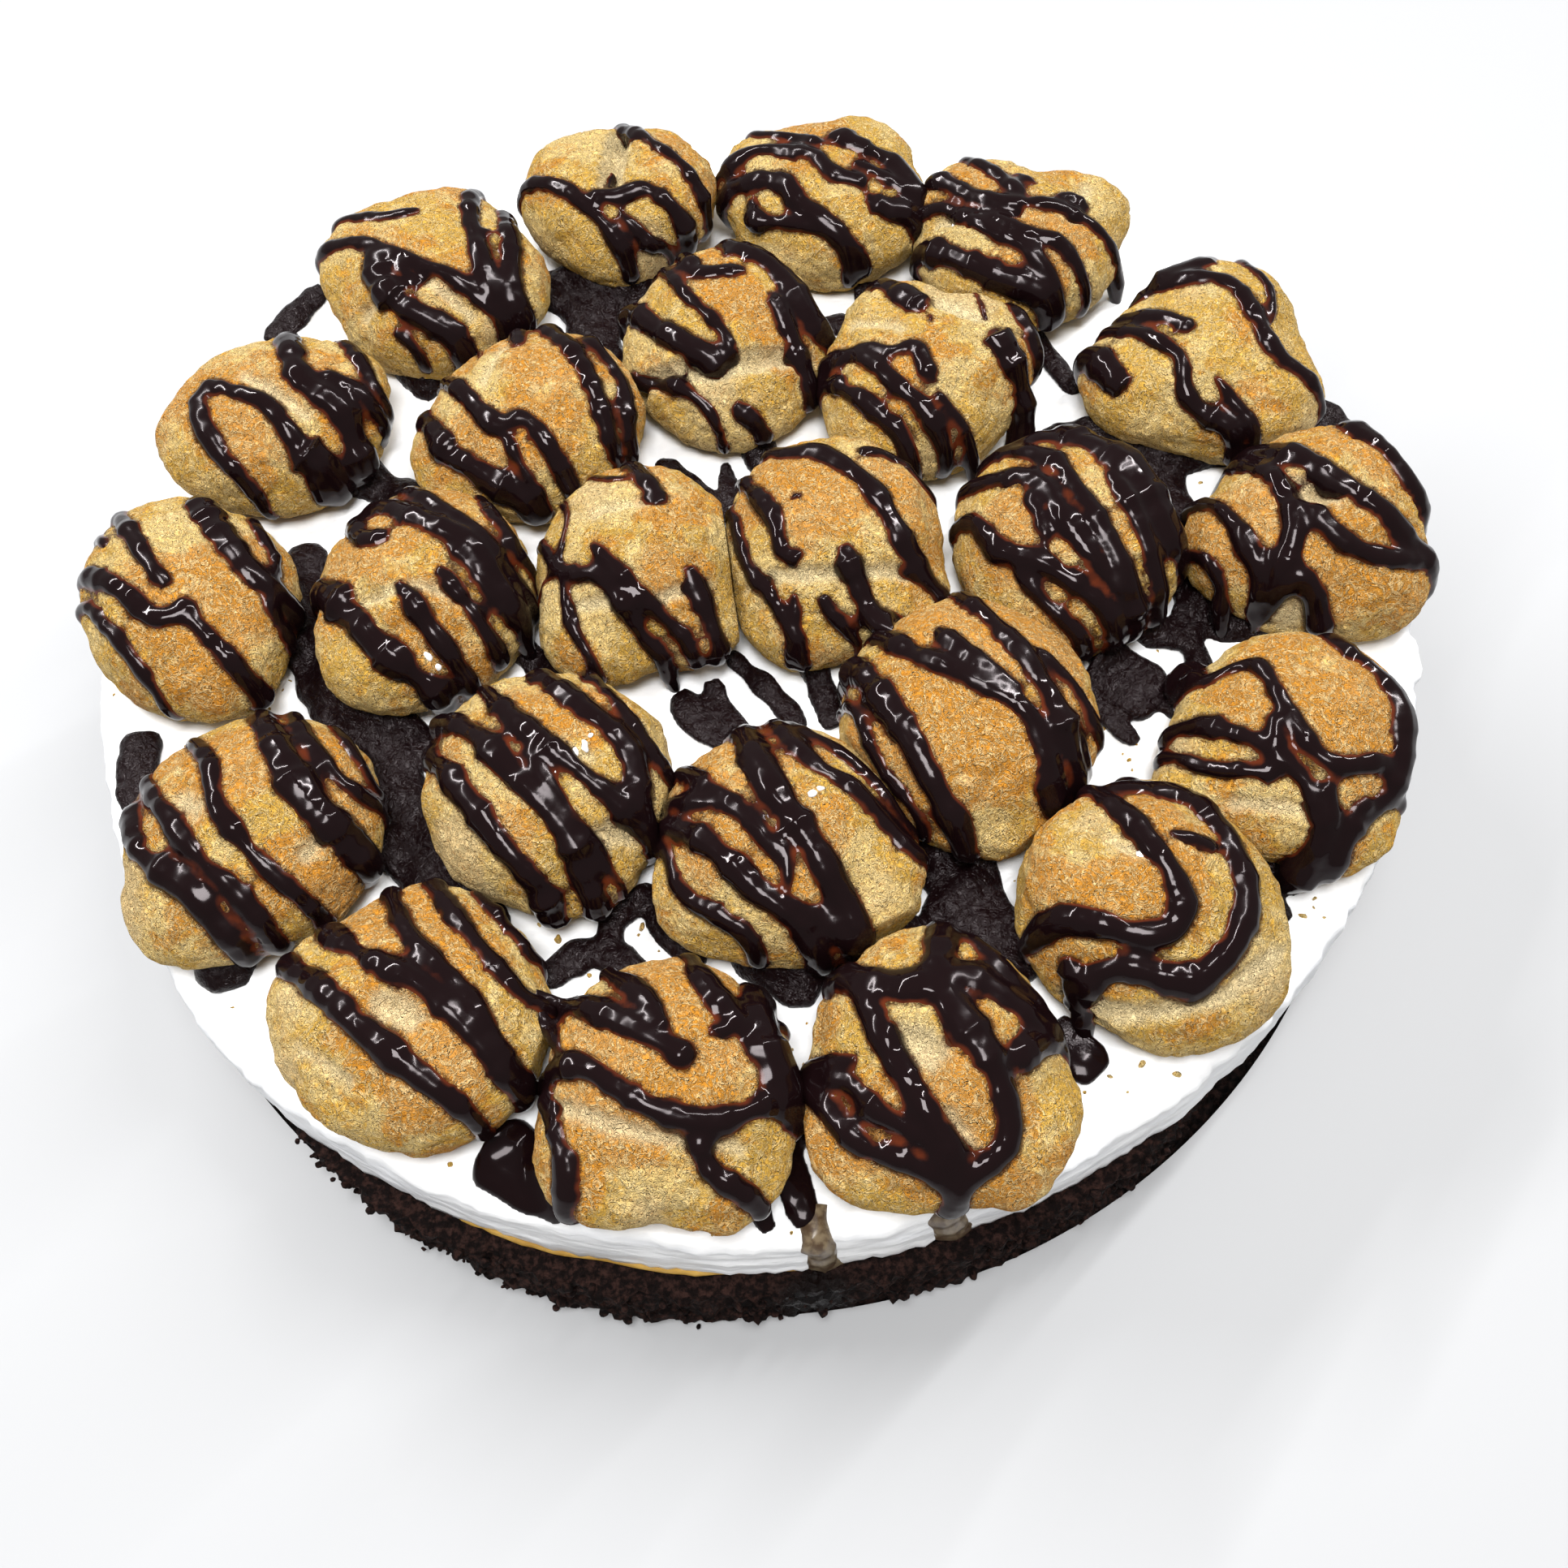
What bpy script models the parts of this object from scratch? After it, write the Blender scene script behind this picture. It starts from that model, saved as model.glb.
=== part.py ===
"""A round profiterole tart: a dark sponge base, a thin golden layer, a thick white cream layer and
twenty-four choux buns with chocolate drizzled over them. Lengths are in millimetres until mesh_object
scales them to metres. X runs to the right, Y to the back, Z up, from the middle of the underside."""

import math
import random
from collections import namedtuple

import bmesh
import bpy
from mathutils import Vector, noise
from mathutils.bvhtree import BVHTree

MM = 0.001
GAP = 0.3

# Layers of the cake
SPONGE_RADIUS = 126.8
SPONGE_MIDDLE = (-2.0, -2.4)
SPONGE_TOP = 19.5
SPONGE_CRAG = 1.4
GOLD_RADIUS = 125.2
GOLD_THICKNESS = 1.2
CREAM_RADIUS = 126.0
CREAM_MIDDLE = (0.0, 1.2)
CREAM_TOP = 38.0
CREAM_BOTTOM = SPONGE_TOP + GAP + GOLD_THICKNESS + GAP
CREAM_EDGE = 1.6

# Where a layer's side stands out of round: degrees round from +X, how many degrees wide, and by how much
CREAM_SWELLS = ((-140, 16, 2.0), (-106, 12, -0.8), (-66, 26, -2.6), (-6, 22, 1.6), (28, 14, 0.8),
                (150, 30, 0.6))
GOLD_SWELLS = ((-107, 14, 1.6),)
SPONGE_SWELLS = ((-110, 18, 2.6), (-145, 11, -5.5), (-40, 11, -5.0), (-24, 11, -2.6))

# Choux buns: each is widest a little above the cream, and its flat foot stands on the cream
WIDEST_ABOVE_CREAM = 8.0
FOOT = CREAM_TOP + GAP
BUN_GAP = 0.5
FOOT_SHARE = 0.9
NEIGHBOUR_REACH = 1.12
NEIGHBOUR_MARGIN = 3.0
CREASE = 16
RIPPLE = 0.03
RIPPLE_FINENESS = 2.2
BUN_TRIANGLES = 416

# Chocolate: how high a rope stands for its width, and the steps along it
ROPE_RISE = 0.32
ROPE_STEP = 2.6
ROPE_ENDS = (0.45, 0.88)
ROPE_ABOVE_FOOT = 3.0
PUDDLE_RISE = 2.2
PUDDLE_STEP = 3.0
LEAST_ROOM = 1.0
PUDDLE_CLEAR = 0.7

# Making: steps round the tart, height that rays fall from, the angle of a sharp edge, and the solvers for
# a union, each with the weld that follows it
SPONGE_STEPS = 100
CREAM_STEPS = 84
GOLD_STEPS = 72
RAYS_FROM = 200.0
UNIONS = (("EXACT", 0.05), ("EXACT", 0.12), ("EXACT", 0.2), ("MANIFOLD", 0.05), ("MANIFOLD", 0.2))
SHARP_ANGLE = 42

# The buns as a whole sit a little to the left of the cake's middle and behind it
TOPPINGS_MIDDLE = (-4.0, 1.0)

# Bun: middle in plan, half width, half length, crown above the widest level, share of the core in the
# whole, and the lobes that swell out of it as (right, back, up, size), in shares of the bun's own sizes
Bun = namedtuple("Bun", "x y half_width half_length crown core lobes")
BUNS = {
    1: Bun(-59.4, 76.2, 24.3, 22.8, 14.0, 0.92,
           [(-0.40, 0.20, 0.15, 0.64), (0.42, -0.10, 0.10, 0.62), (0.05, 0.42, 0.18, 0.58)]),
    2: Bun(-20.3, 95.5, 21.1, 19.5, 14.0, 0.80,
           [(-0.42, 0.02, 0.15, 0.62), (0.42, 0.00, 0.20, 0.62)]),
    3: Bun(23.6, 93.4, 22.9, 20.7, 14.0, 0.90,
           [(-0.40, 0.20, 0.15, 0.62), (0.40, -0.15, 0.10, 0.62), (0.35, 0.40, 0.18, 0.55)]),
    4: Bun(65.0, 76.9, 23.3, 20.7, 14.0, 0.86,
           [(-0.30, 0.42, 0.25, 0.52), (0.48, 0.25, 0.15, 0.50), (0.00, -0.25, 0.10, 0.74)]),
    5: Bun(1.3, 52.9, 21.6, 22.3, 15.0, 0.90,
           [(0.02, 0.22, 0.32, 0.72), (0.05, -0.38, -0.10, 0.62)]),
    6: Bun(41.9, 41.9, 22.1, 22.2, 15.0, 0.88,
           [(-0.12, -0.25, 0.08, 0.76), (0.42, 0.15, 0.22, 0.58), (-0.15, 0.42, 0.22, 0.54)]),
    7: Bun(95.6, 42.4, 23.7, 22.2, 15.0, 0.84,
           [(-0.48, -0.10, 0.05, 0.56), (0.18, 0.38, 0.22, 0.62), (0.32, -0.32, 0.05, 0.60)]),
    8: Bun(-89.2, 40.3, 23.0, 20.1, 14.0, 0.92,
           [(-0.35, -0.12, 0.12, 0.68), (0.38, 0.15, 0.18, 0.62)]),
    9: Bun(-38.6, 35.9, 23.5, 20.7, 15.0, 0.88,
           [(0.14, 0.12, 0.20, 0.80), (-0.48, -0.25, 0.02, 0.50)]),
    10: Bun(19.8, 1.9, 21.6, 23.5, 16.5, 0.88,
           [(0.00, 0.18, 0.18, 0.80), (-0.22, -0.48, -0.05, 0.50), (0.40, -0.42, 0.00, 0.48)]),
    11: Bun(64.5, 0.4, 21.6, 23.2, 16.5, 0.94,
           [(0.00, 0.05, 0.18, 0.84), (-0.10, -0.45, 0.02, 0.54)]),
    12: Bun(108.6, -0.7, 22.6, 21.2, 16.5, 0.86,
           [(-0.50, -0.10, 0.05, 0.54), (0.18, 0.22, 0.22, 0.66), (0.28, -0.35, 0.02, 0.60)]),
    13: Bun(-17.2, -1.4, 19.5, 21.7, 16.5, 0.86,
           [(0.05, 0.16, 0.24, 0.78), (-0.30, -0.48, -0.02, 0.52), (0.42, -0.42, 0.00, 0.46)]),
    14: Bun(-57.0, -4.7, 20.6, 22.8, 16.5, 0.90,
           [(0.10, 0.14, 0.18, 0.80), (-0.28, -0.42, 0.05, 0.56)]),
    15: Bun(-101.4, -3.7, 20.0, 23.0, 16.5, 0.90,
           [(-0.18, 0.16, 0.18, 0.76), (0.24, -0.42, 0.05, 0.58)]),
    16: Bun(41.8, -37.4, 23.4, 25.2, 17.0, 0.90,
           [(0.00, 0.02, 0.20, 0.86), (0.10, -0.52, 0.00, 0.48)]),
    17: Bun(95.7, -45.7, 22.9, 22.6, 16.0, 0.88,
           [(0.14, 0.18, 0.18, 0.80), (-0.50, -0.25, -0.08, 0.52), (0.30, -0.48, -0.08, 0.50)]),
    18: Bun(-33.0, -46.0, 22.4, 23.3, 16.0, 0.90,
           [(0.00, 0.02, 0.20, 0.84), (0.18, -0.52, -0.05, 0.46)]),
    19: Bun(-84.6, -51.6, 22.7, 22.9, 16.0, 0.90,
           [(0.10, 0.14, 0.16, 0.82), (-0.30, -0.40, 0.00, 0.58)]),
    20: Bun(8.2, -58.2, 23.5, 22.0, 15.0, 0.88,
           [(-0.05, 0.05, 0.22, 0.80), (0.40, -0.30, 0.05, 0.58), (-0.45, -0.25, 0.00, 0.52)]),
    21: Bun(69.0, -74.0, 22.7, 24.4, 17.0, 0.84,
           [(-0.16, 0.12, 0.42, 0.62), (0.14, -0.30, -0.05, 0.70), (0.10, 0.42, 0.00, 0.54)]),
    22: Bun(-55.0, -85.7, 24.0, 23.0, 15.0, 0.88,
           [(0.10, -0.15, 0.14, 0.82), (-0.42, 0.10, 0.05, 0.56), (0.10, 0.45, 0.12, 0.50)]),
    23: Bun(-13.3, -101.1, 21.5, 22.2, 15.0, 0.86,
           [(-0.08, 0.14, 0.26, 0.72), (0.26, -0.45, 0.00, 0.52), (-0.40, -0.35, 0.02, 0.56)]),
    24: Bun(30.3, -98.4, 22.4, 23.4, 15.0, 0.86,
           [(0.00, 0.04, 0.20, 0.78), (-0.42, -0.28, 0.00, 0.56), (0.42, -0.28, 0.05, 0.56)]),
}

# Chocolate ropes on each bun, in plan: the rope's width, then the points that it runs through
DRIZZLE = {
    1: [
        (4.0, (-81, 80), (-70, 76), (-60, 69.5), (-53, 66.5), (-47, 62.5)),
        (6.0, (-70, 76), (-68, 67), (-63, 61), (-55, 57)),
        (4.5, (-51, 92), (-50, 82), (-48, 73), (-46, 65)),
        (5.5, (-44, 88), (-42, 79), (-42, 69)),
        (4.0, (-77, 87), (-68, 84), (-60, 85)),
    ],
    2: [
        (4.0, (-38, 94), (-31, 89.5), (-25, 84), (-19.5, 78)),
        (4.0, (-27, 87), (-20, 86.5), (-14, 88), (-6, 83)),
        (3.0, (-20, 83.5), (-14, 79.5), (-8, 81)),
        (4.0, (-17, 108), (-13, 101), (-7, 95), (-2, 89)),
    ],
    3: [
        (5.0, (3, 98), (12, 98), (21, 94), (25, 89), (33, 86)),
        (5.0, (5, 92), (14, 89), (18, 83), (25, 77)),
        (3.5, (8, 88), (9, 82.5), (18, 79), (28, 75.5)),
        (6.0, (26, 104), (30, 98), (38, 95), (42, 89)),
        (5.0, (31, 83.5), (36, 82), (41, 82)),
        (4.0, (29, 92), (36, 89), (42, 86)),
    ],
    4: [
        (4.5, (47, 89), (53, 82), (59, 78), (65, 76.5)),
        (4.0, (56, 92), (60, 86), (64, 78)),
        (4.5, (64, 76.5), (72, 76), (79, 73), (85, 69)),
        (3.5, (50, 79), (56, 71.5), (63, 66), (68, 59.5)),
        (3.5, (55, 77), (61, 70.5), (70, 67), (75, 61.5)),
        (5.5, (44, 73), (50, 67), (57, 62), (65, 58.5)),
    ],
    5: [
        (6.0, (-18, 61), (-13, 53), (-6, 46), (0, 42)),
        (3.5, (-10, 66), (-6, 57), (0, 49.5), (3, 43)),
        (4.5, (-6, 70), (-4, 63), (2, 62), (7, 62)),
        (4.5, (11, 58), (14, 50), (17.5, 42)),
        (7.0, (6, 70), (13, 64), (18, 56)),
        (3.5, (-18, 46), (-11, 41), (-4, 36), (-1, 32)),
        (4.5, (2, 36), (7, 32.5)),
    ],
    6: [
        (6.0, (34, 60), (38, 54), (42, 49)),
        (3.5, (24, 42), (29, 42), (34, 39), (38, 40), (41, 31)),
        (4.5, (28, 40), (34, 32), (39, 27), (42.5, 22)),
        (4.0, (22, 38), (27, 31), (34, 24)),
        (3.0, (41, 30), (46, 25), (50, 21)),
        (6.0, (53, 46), (57, 40), (60, 34), (58, 27)),
    ],
    7: [
        (4.5, (79, 53), (84, 49), (89, 44), (92.5, 40)),
        (4.0, (79, 48), (85, 41), (89, 35), (90, 28), (97, 23)),
        (3.0, (95, 31), (99, 26), (102, 22.5)),
        (5.0, (93, 56), (101, 52), (104.5, 44), (108, 36), (115, 31)),
        (6.0, (74, 42), (77, 35), (80, 31)),
        (6.5, (88, 58), (97, 60)),
    ],
    8: [
        (6.5, (-87, 57), (-84, 49), (-81, 41), (-74, 36), (-71.5, 30)),
        (4.0, (-79, 42), (-73, 41.5), (-68, 38)),
        (4.0, (-102, 41), (-100, 33), (-96, 26), (-91, 21.5)),
        (4.0, (-102, 42), (-94, 38.5), (-87, 35), (-82, 28)),
        (8.0, (-83, 28), (-79, 26)),
    ],
    9: [
        (4.5, (-56, 46), (-50, 37), (-43, 28), (-37, 28), (-29.5, 18)),
        (6.0, (-58, 35), (-54, 27), (-47, 20.5), (-40, 17)),
        (3.0, (-41, 26), (-39.5, 22), (-36, 17)),
        (4.5, (-40, 53), (-39, 46)),
        (5.5, (-33, 52), (-27, 42), (-23, 32), (-21, 24)),
        (4.0, (-24, 47), (-19, 39), (-18, 29)),
    ],
    10: [
        (4.0, (4, 20), (4, 13), (9, 1), (10, -5), (14, -8)),
        (3.5, (1, 9), (3.5, -4), (8, -12), (12, -19)),
        (5.0, (13, 17), (20, 14), (28, 5), (32, -3), (36, -8)),
        (4.0, (25, 15), (32, 16), (37, 12)),
        (4.0, (21, -5), (24, -13), (28, -20)),
        (3.5, (16.5, -13), (20, -17), (24, -20)),
    ],
    11: [
        (4.5, (54, 17), (61, 11), (65, 1), (70, -9), (74, -17)),
        (4.5, (50, 10), (58, 6), (62, -4), (67, -12), (71, -15)),
        (4.0, (56, 5), (58, -7)),
        (5.0, (46, 2), (50, -6), (58, -11), (68, -18)),
        (3.5, (52, -9), (57, -16), (63, -21)),
        (8.0, (68, 17), (76, 9), (81, -2)),
        (5.0, (71, 8), (75, -2), (79, -13)),
    ],
    12: [
        (4.0, (89, 9), (93, -2), (97, -13)),
        (5.0, (97, 16), (101, 5), (103, -5), (100, -14)),
        (6.0, (102, 14), (109, 5), (117, -3), (124, -8)),
        (4.5, (105, -3), (111, -10), (119, -12.5), (127, -11)),
        (6.0, (120, 14), (126, 4)),
        (4.5, (98, -16), (104, -15), (108, -20)),
    ],
    13: [
        (5.0, (-17, 17), (-14, 11), (-11, 3.5)),
        (4.0, (-34, 2), (-30, -5), (-22, -9), (-16, -17), (-11, -21)),
        (3.5, (-24.5, -2), (-19, -9), (-13, -14), (-8, -18)),
        (3.5, (-30, -6), (-29, -14), (-26, -20)),
        (4.5, (-7, -6), (-4.5, -12), (-3, -16)),
    ],
    14: [
        (5.0, (-70, 10), (-66, 2), (-60, 1.5)),
        (6.0, (-64, 11), (-55, 4), (-46, -1), (-39, -10)),
        (4.0, (-58, 13), (-50, 6), (-43, 0), (-40, -4)),
        (3.5, (-59, -8.5), (-54, -16), (-48, -23)),
        (3.5, (-52, -6), (-48, -11), (-44, -16)),
        (7.0, (-75, -5), (-69, -12), (-62, -20), (-54, -25)),
    ],
    15: [
        (4.0, (-112, 10), (-106, 1), (-100, -8)),
        (6.0, (-98, 14), (-93, 6), (-88, -1)),
        (4.0, (-90, 13), (-85, 4), (-84, -6)),
        (4.0, (-116, -2), (-109, -7), (-102, -13), (-95, -11)),
        (5.0, (-99, -9), (-94, -15), (-89, -20)),
        (3.5, (-116, -8), (-110, -15), (-104, -23)),
    ],
    16: [
        (4.5, (27, -22), (33, -30), (43, -37), (50, -42), (54, -51)),
        (4.0, (36, -24), (42, -32), (50, -39)),
        (5.0, (43, -16), (49, -27), (55, -39), (58, -48)),
        (3.5, (53, -29), (59, -35), (63, -41)),
        (5.5, (22, -28), (28, -41), (34, -54), (38, -60)),
        (3.0, (21, -36), (25, -47), (31, -56)),
    ],
    17: [
        (3.5, (85, -34), (91, -34), (94, -45), (100, -54), (112, -53)),
        (4.0, (80, -43), (87, -48), (96, -57), (98, -65)),
        (3.5, (75, -46), (82, -52), (92, -55)),
        (8.0, (86, -26), (80, -35)),
        (6.0, (108, -31), (115, -42), (113, -55), (104, -63)),
    ],
    18: [
        (4.5, (-44, -28), (-38, -37), (-29, -46), (-20, -53)),
        (5.0, (-52, -33), (-44, -40), (-36, -50), (-28, -59), (-25, -66)),
        (5.0, (-54, -39), (-47, -49), (-40, -59), (-33, -67)),
        (3.0, (-35, -42), (-32, -50), (-24, -60)),
        (6.0, (-34, -26), (-26, -35), (-18, -43), (-16, -54)),
        (4.0, (-25, -26), (-19, -35), (-13, -44)),
    ],
    19: [
        (4.0, (-97, -33), (-89, -43), (-86, -52), (-80, -60), (-72, -67)),
        (6.5, (-84, -30), (-78, -40), (-71, -51), (-64, -58)),
        (3.5, (-77, -32), (-72, -40), (-68, -45)),
        (4.5, (-104, -40), (-98, -49), (-90, -59), (-82, -67)),
        (5.5, (-106, -47), (-100, -58), (-91, -65), (-85, -72)),
    ],
    20: [
        (6.0, (2, -41), (6, -53), (12, -63), (17, -72)),
        (4.5, (8, -39), (13, -48), (20, -53), (28, -61)),
        (3.5, (13, -41), (22, -48), (28, -56)),
        (5.5, (-12, -56), (-4, -63), (3, -71), (10, -76)),
        (3.5, (-9, -46), (-4, -52), (3, -60), (8, -68)),
        (4.0, (-12, -61), (-9, -69), (0, -76)),
    ],
    21: [
        (5.0, (60, -55), (66, -66), (71, -78), (66, -83), (53, -79)),
        (6.0, (64, -55), (76, -56), (82, -67), (82, -79), (73, -89), (61, -87)),
        (5.0, (66, -50), (72, -56)),
        (3.0, (70, -66), (79, -68)),
        (4.0, (52, -83), (57, -93)),
    ],
    22: [
        (4.5, (-71, -70), (-60, -79), (-49, -86), (-38, -98)),
        (4.0, (-59, -65), (-53, -76), (-44, -86), (-37, -97)),
        (4.0, (-51, -65), (-44, -75), (-36, -85)),
        (3.5, (-44, -66), (-36, -76)),
        (5.0, (-75, -77), (-66, -85), (-58, -93), (-44, -104)),
    ],
    23: [
        (4.5, (-31, -98), (-25, -99), (-15, -106), (-5, -108.5), (4, -105)),
        (4.0, (-8, -109), (-6, -115), (0, -119)),
        (5.0, (-30, -86), (-21, -91), (-12, -97), (-7, -100)),
        (5.0, (-22, -82), (-16, -88), (-12, -96)),
        (5.0, (-8, -81), (-3, -90), (4, -98)),
        (5.0, (-32, -101), (-29, -111)),
    ],
    24: [
        (5.5, (33, -78), (31, -89), (38, -102), (40, -113), (33, -119)),
        (6.0, (17, -85), (26, -89), (36, -88), (46, -94)),
        (4.5, (19, -90), (23, -101), (30, -114)),
        (4.0, (11, -99), (18, -100)),
        (4.5, (10, -103), (17, -112), (29, -118)),
        (5.5, (49, -96), (40, -103)),
    ],
}

# Chocolate that lies on the cream between the buns, in the same form
PUDDLES = [
    (12.0, (-37, 81), (-27, 77), (-16, 80)),
    (14.0, (-28, 77), (-27, 68), (-27, 60)),
    (6.0, (-87, 84), (-92, 77), (-96, 71)),
    (5.0, (-52, 64), (-43, 67)),
    (7.0, (-69, 67), (-66, 60), (-61, 54)),
    (8.0, (-75, 33), (-69, 29), (-61, 26)),
    (8.0, (-84, 15), (-82, 5), (-80, -6)),
    (14.0, (-80, -6), (-76, -15), (-70, -24)),
    (12.0, (-77, -18), (-67, -26), (-59, -33)),
    (7.0, (-42, -9), (-36, -15), (-29, -22), (-23, -29)),
    (8.0, (-31, -20), (-22, -31), (-14, -42), (-11, -47)),
    (5.0, (-13, 32), (-5, 24), (0, 16)),
    (4.5, (0, 30), (1, 22), (4, 12)),
    (7.0, (6, 41), (7, 33), (10, 28)),
    (5.0, (0, -15), (6, -22), (12, -30)),
    (5.5, (-4, -21), (-2, -27), (2, -33)),
    (5.5, (-10, -23), (-6, -30), (0, -34)),
    (6.0, (14, -14), (16, -21), (18, -30)),
    (9.0, (-64, -33), (-60, -42), (-56, -52)),
    (12.0, (-62, -50), (-54, -58), (-48, -66)),
    (7.0, (-48, -60), (-42, -70), (-37, -81)),
    (7.0, (-34, -77), (-27, -73), (-19, -76)),
    (6.0, (-24, -74), (-22, -66), (-15, -63)),
    (5.0, (-16, -63), (-13, -71), (-8, -76)),
    (10.0, (-3, -70), (4, -77), (11, -81)),
    (12.0, (11, -72), (20, -76), (29, -74)),
    (8.0, (33, -53), (36, -63), (40, -72)),
    (6.0, (41, -56), (43, -64), (44, -73)),
    (13.0, (37, -66), (42, -73), (49, -78)),
    (5.0, (64, -14), (70, -20), (77, -24)),
    (13.0, (70, -22), (77, -28)),
    (7.0, (78, -14), (86, -16), (87, -24), (80, -31)),
    (5.0, (64, -26), (68, -31), (73, -37)),
    (6.0, (89, -12), (96, -15), (102, -14)),
    (12.0, (66, 31), (78, 30), (88, 25)),
    (10.0, (86, 28), (88, 14), (87, 0)),
    (9.0, (88, 2), (89, -8), (86, -15)),
    (8.0, (90, 25), (97, 28), (105, 28)),
    (9.0, (117, 43), (121, 36), (125, 30)),
    (5.0, (66, 60), (70, 52), (73, 45)),
    (5.0, (30, 74), (38, 73), (45, 70)),
    (6.0, (21, 66), (27, 67)),
    (13.0, (-41, -107), (-36, -111), (-31, -113)),
    (9.0, (-30, -103), (-29, -113)),
    (8.0, (2, -92), (6, -100), (8, -107)),
    (6.0, (4, -104), (6, -112), (8, -120)),
    (4.5, (-2, -112), (0, -117), (2, -121)),
    (8.0, (-111, -26), (-111, -34), (-108, -43)),
    (10.0, (-91, -68), (-89.5, -74)),
    (8.0, (52, -92), (57, -98)),
    (9.0, (90, -62), (97, -66)),
    (7.0, (88, -65), (93, -73)),
]

# Colours and roughness
CHOUX = ("choux", (0.72, 0.43, 0.15), 0.85)
CHOCOLATE = ("chocolate", (0.018, 0.008, 0.006), 0.18)
CREAM = ("whipped_cream", (0.86, 0.86, 0.87), 0.55)
SPONGE = ("chocolate_sponge", (0.035, 0.018, 0.012), 0.95)
GOLD = ("golden_layer", (0.62, 0.36, 0.04), 0.35)


def clear_scene():
    for existing in list(bpy.data.objects):
        bpy.data.objects.remove(existing, do_unlink=True)


def material(kind):
    name, colour, roughness = kind
    made = bpy.data.materials.get(name)
    if made is None:
        made = bpy.data.materials.new(name)
        made.use_nodes = True
        shader = made.node_tree.nodes["Principled BSDF"]
        shader.inputs["Base Color"].default_value = (*colour, 1.0)
        shader.inputs["Roughness"].default_value = roughness
        shader.inputs["Metallic"].default_value = 0.0
    return made


def mesh_object(name, mesh_in_mm, kind, collection=None):
    """An object of this bmesh, brought from millimetres to metres."""
    bmesh.ops.scale(mesh_in_mm, vec=(MM, MM, MM), verts=mesh_in_mm.verts)
    bmesh.ops.recalc_face_normals(mesh_in_mm, faces=mesh_in_mm.faces)
    mesh = bpy.data.meshes.new(name)
    mesh_in_mm.to_mesh(mesh)
    mesh_in_mm.free()
    mesh.materials.append(material(kind))
    made = bpy.data.objects.new(name, mesh)
    (collection or bpy.context.scene.collection).objects.link(made)
    return made


def smooth_path(points, step):
    """Points about a step apart on a smooth curve through the given plan points."""
    ends = [2 * Vector(points[0]) - Vector(points[1]), 2 * Vector(points[-1]) - Vector(points[-2])]
    knots = [ends[0], *[Vector(point) for point in points], ends[1]]
    path = []
    for before, start, end, after in zip(knots, knots[1:], knots[2:], knots[3:]):
        pieces = max(1, round((end - start).length / step))
        for piece in range(pieces):
            t = piece / pieces
            path.append(
                0.5
                * (
                    2 * start
                    + (end - before) * t
                    + (2 * before - 5 * start + 4 * end - after) * t**2
                    + (3 * start - before - 3 * end + after) * t**3
                )
            )
    path.append(Vector(points[-1]))
    return path


def reach(bun, way):
    """How far the bun's edge is from its middle in plan, in this direction."""
    return 1 / math.hypot(way.x / bun.half_width, way.y / bun.half_length)


def walls_between(number):
    """Upright planes where this bun meets its neighbours, as (normal, distance from its middle)."""
    bun = BUNS[number]
    walls = []
    for other in BUNS.values():
        if other is bun:
            continue
        across = Vector((other.x - bun.x, other.y - bun.y))
        normal = across.normalized()
        mine, theirs = reach(bun, normal), reach(other, -normal)
        if NEIGHBOUR_REACH * (mine + theirs) + NEIGHBOUR_MARGIN > across.length:
            walls.append((normal, across.length * mine / (mine + theirs) - BUN_GAP / 2))
    return walls


def bun_radius(bun, way):
    """Distance to the skin this way, in shares of the bun's sizes: the core and the lobes, and the soft
    creases where they meet."""
    swell = bun.core**CREASE
    for right, back, up, size in bun.lobes:
        middle = Vector((right, back, up))
        along = way.dot(middle)
        inside = along * along - middle.length_squared + size * size
        if inside > 0:
            swell += (along + math.sqrt(inside)) ** CREASE
    ripple = RIPPLE * noise.noise(way * RIPPLE_FINENESS + Vector((bun.x, bun.y, 0.0)))
    return swell ** (1 / CREASE) + ripple


def keep_inside(mesh, number, walls):
    """Moves points that pass a neighbour's wall or the foot back onto it."""
    bun = BUNS[number]
    for point in mesh.verts:
        for normal, distance in walls:
            beyond = (point.co.x - bun.x) * normal.x + (point.co.y - bun.y) * normal.y - distance
            if beyond > 0:
                point.co.x -= normal.x * beyond
                point.co.y -= normal.y * beyond
        point.co.z = max(point.co.z, FOOT)


def bun_body(number):
    """The bun without its drizzle: a ball with lobes, stretched to the bun's sizes, with a flat foot."""
    bun = BUNS[number]
    body = bmesh.new()
    bmesh.ops.create_icosphere(body, subdivisions=4, radius=1.0)
    for point in body.verts:
        way = point.co.normalized()
        point.co = way * bun_radius(bun, way)
    left, right = (pick(point.co.x for point in body.verts) for pick in (min, max))
    front, back = (pick(point.co.y for point in body.verts) for pick in (min, max))
    top = max(point.co.z for point in body.verts)
    middle = Vector((bun.x, bun.y, CREAM_TOP + WIDEST_ABOVE_CREAM))
    for point in body.verts:
        place = Vector((
            bun.half_width * (2 * (point.co.x - left) / (right - left) - 1),
            bun.half_length * (2 * (point.co.y - front) / (back - front) - 1),
            bun.crown * point.co.z / top,
        ))
        if place.z < FOOT - middle.z:
            place *= (FOOT - middle.z) / place.z
        point.co = middle + place
    keep_inside(body, number, walls_between(number))
    return body


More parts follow.
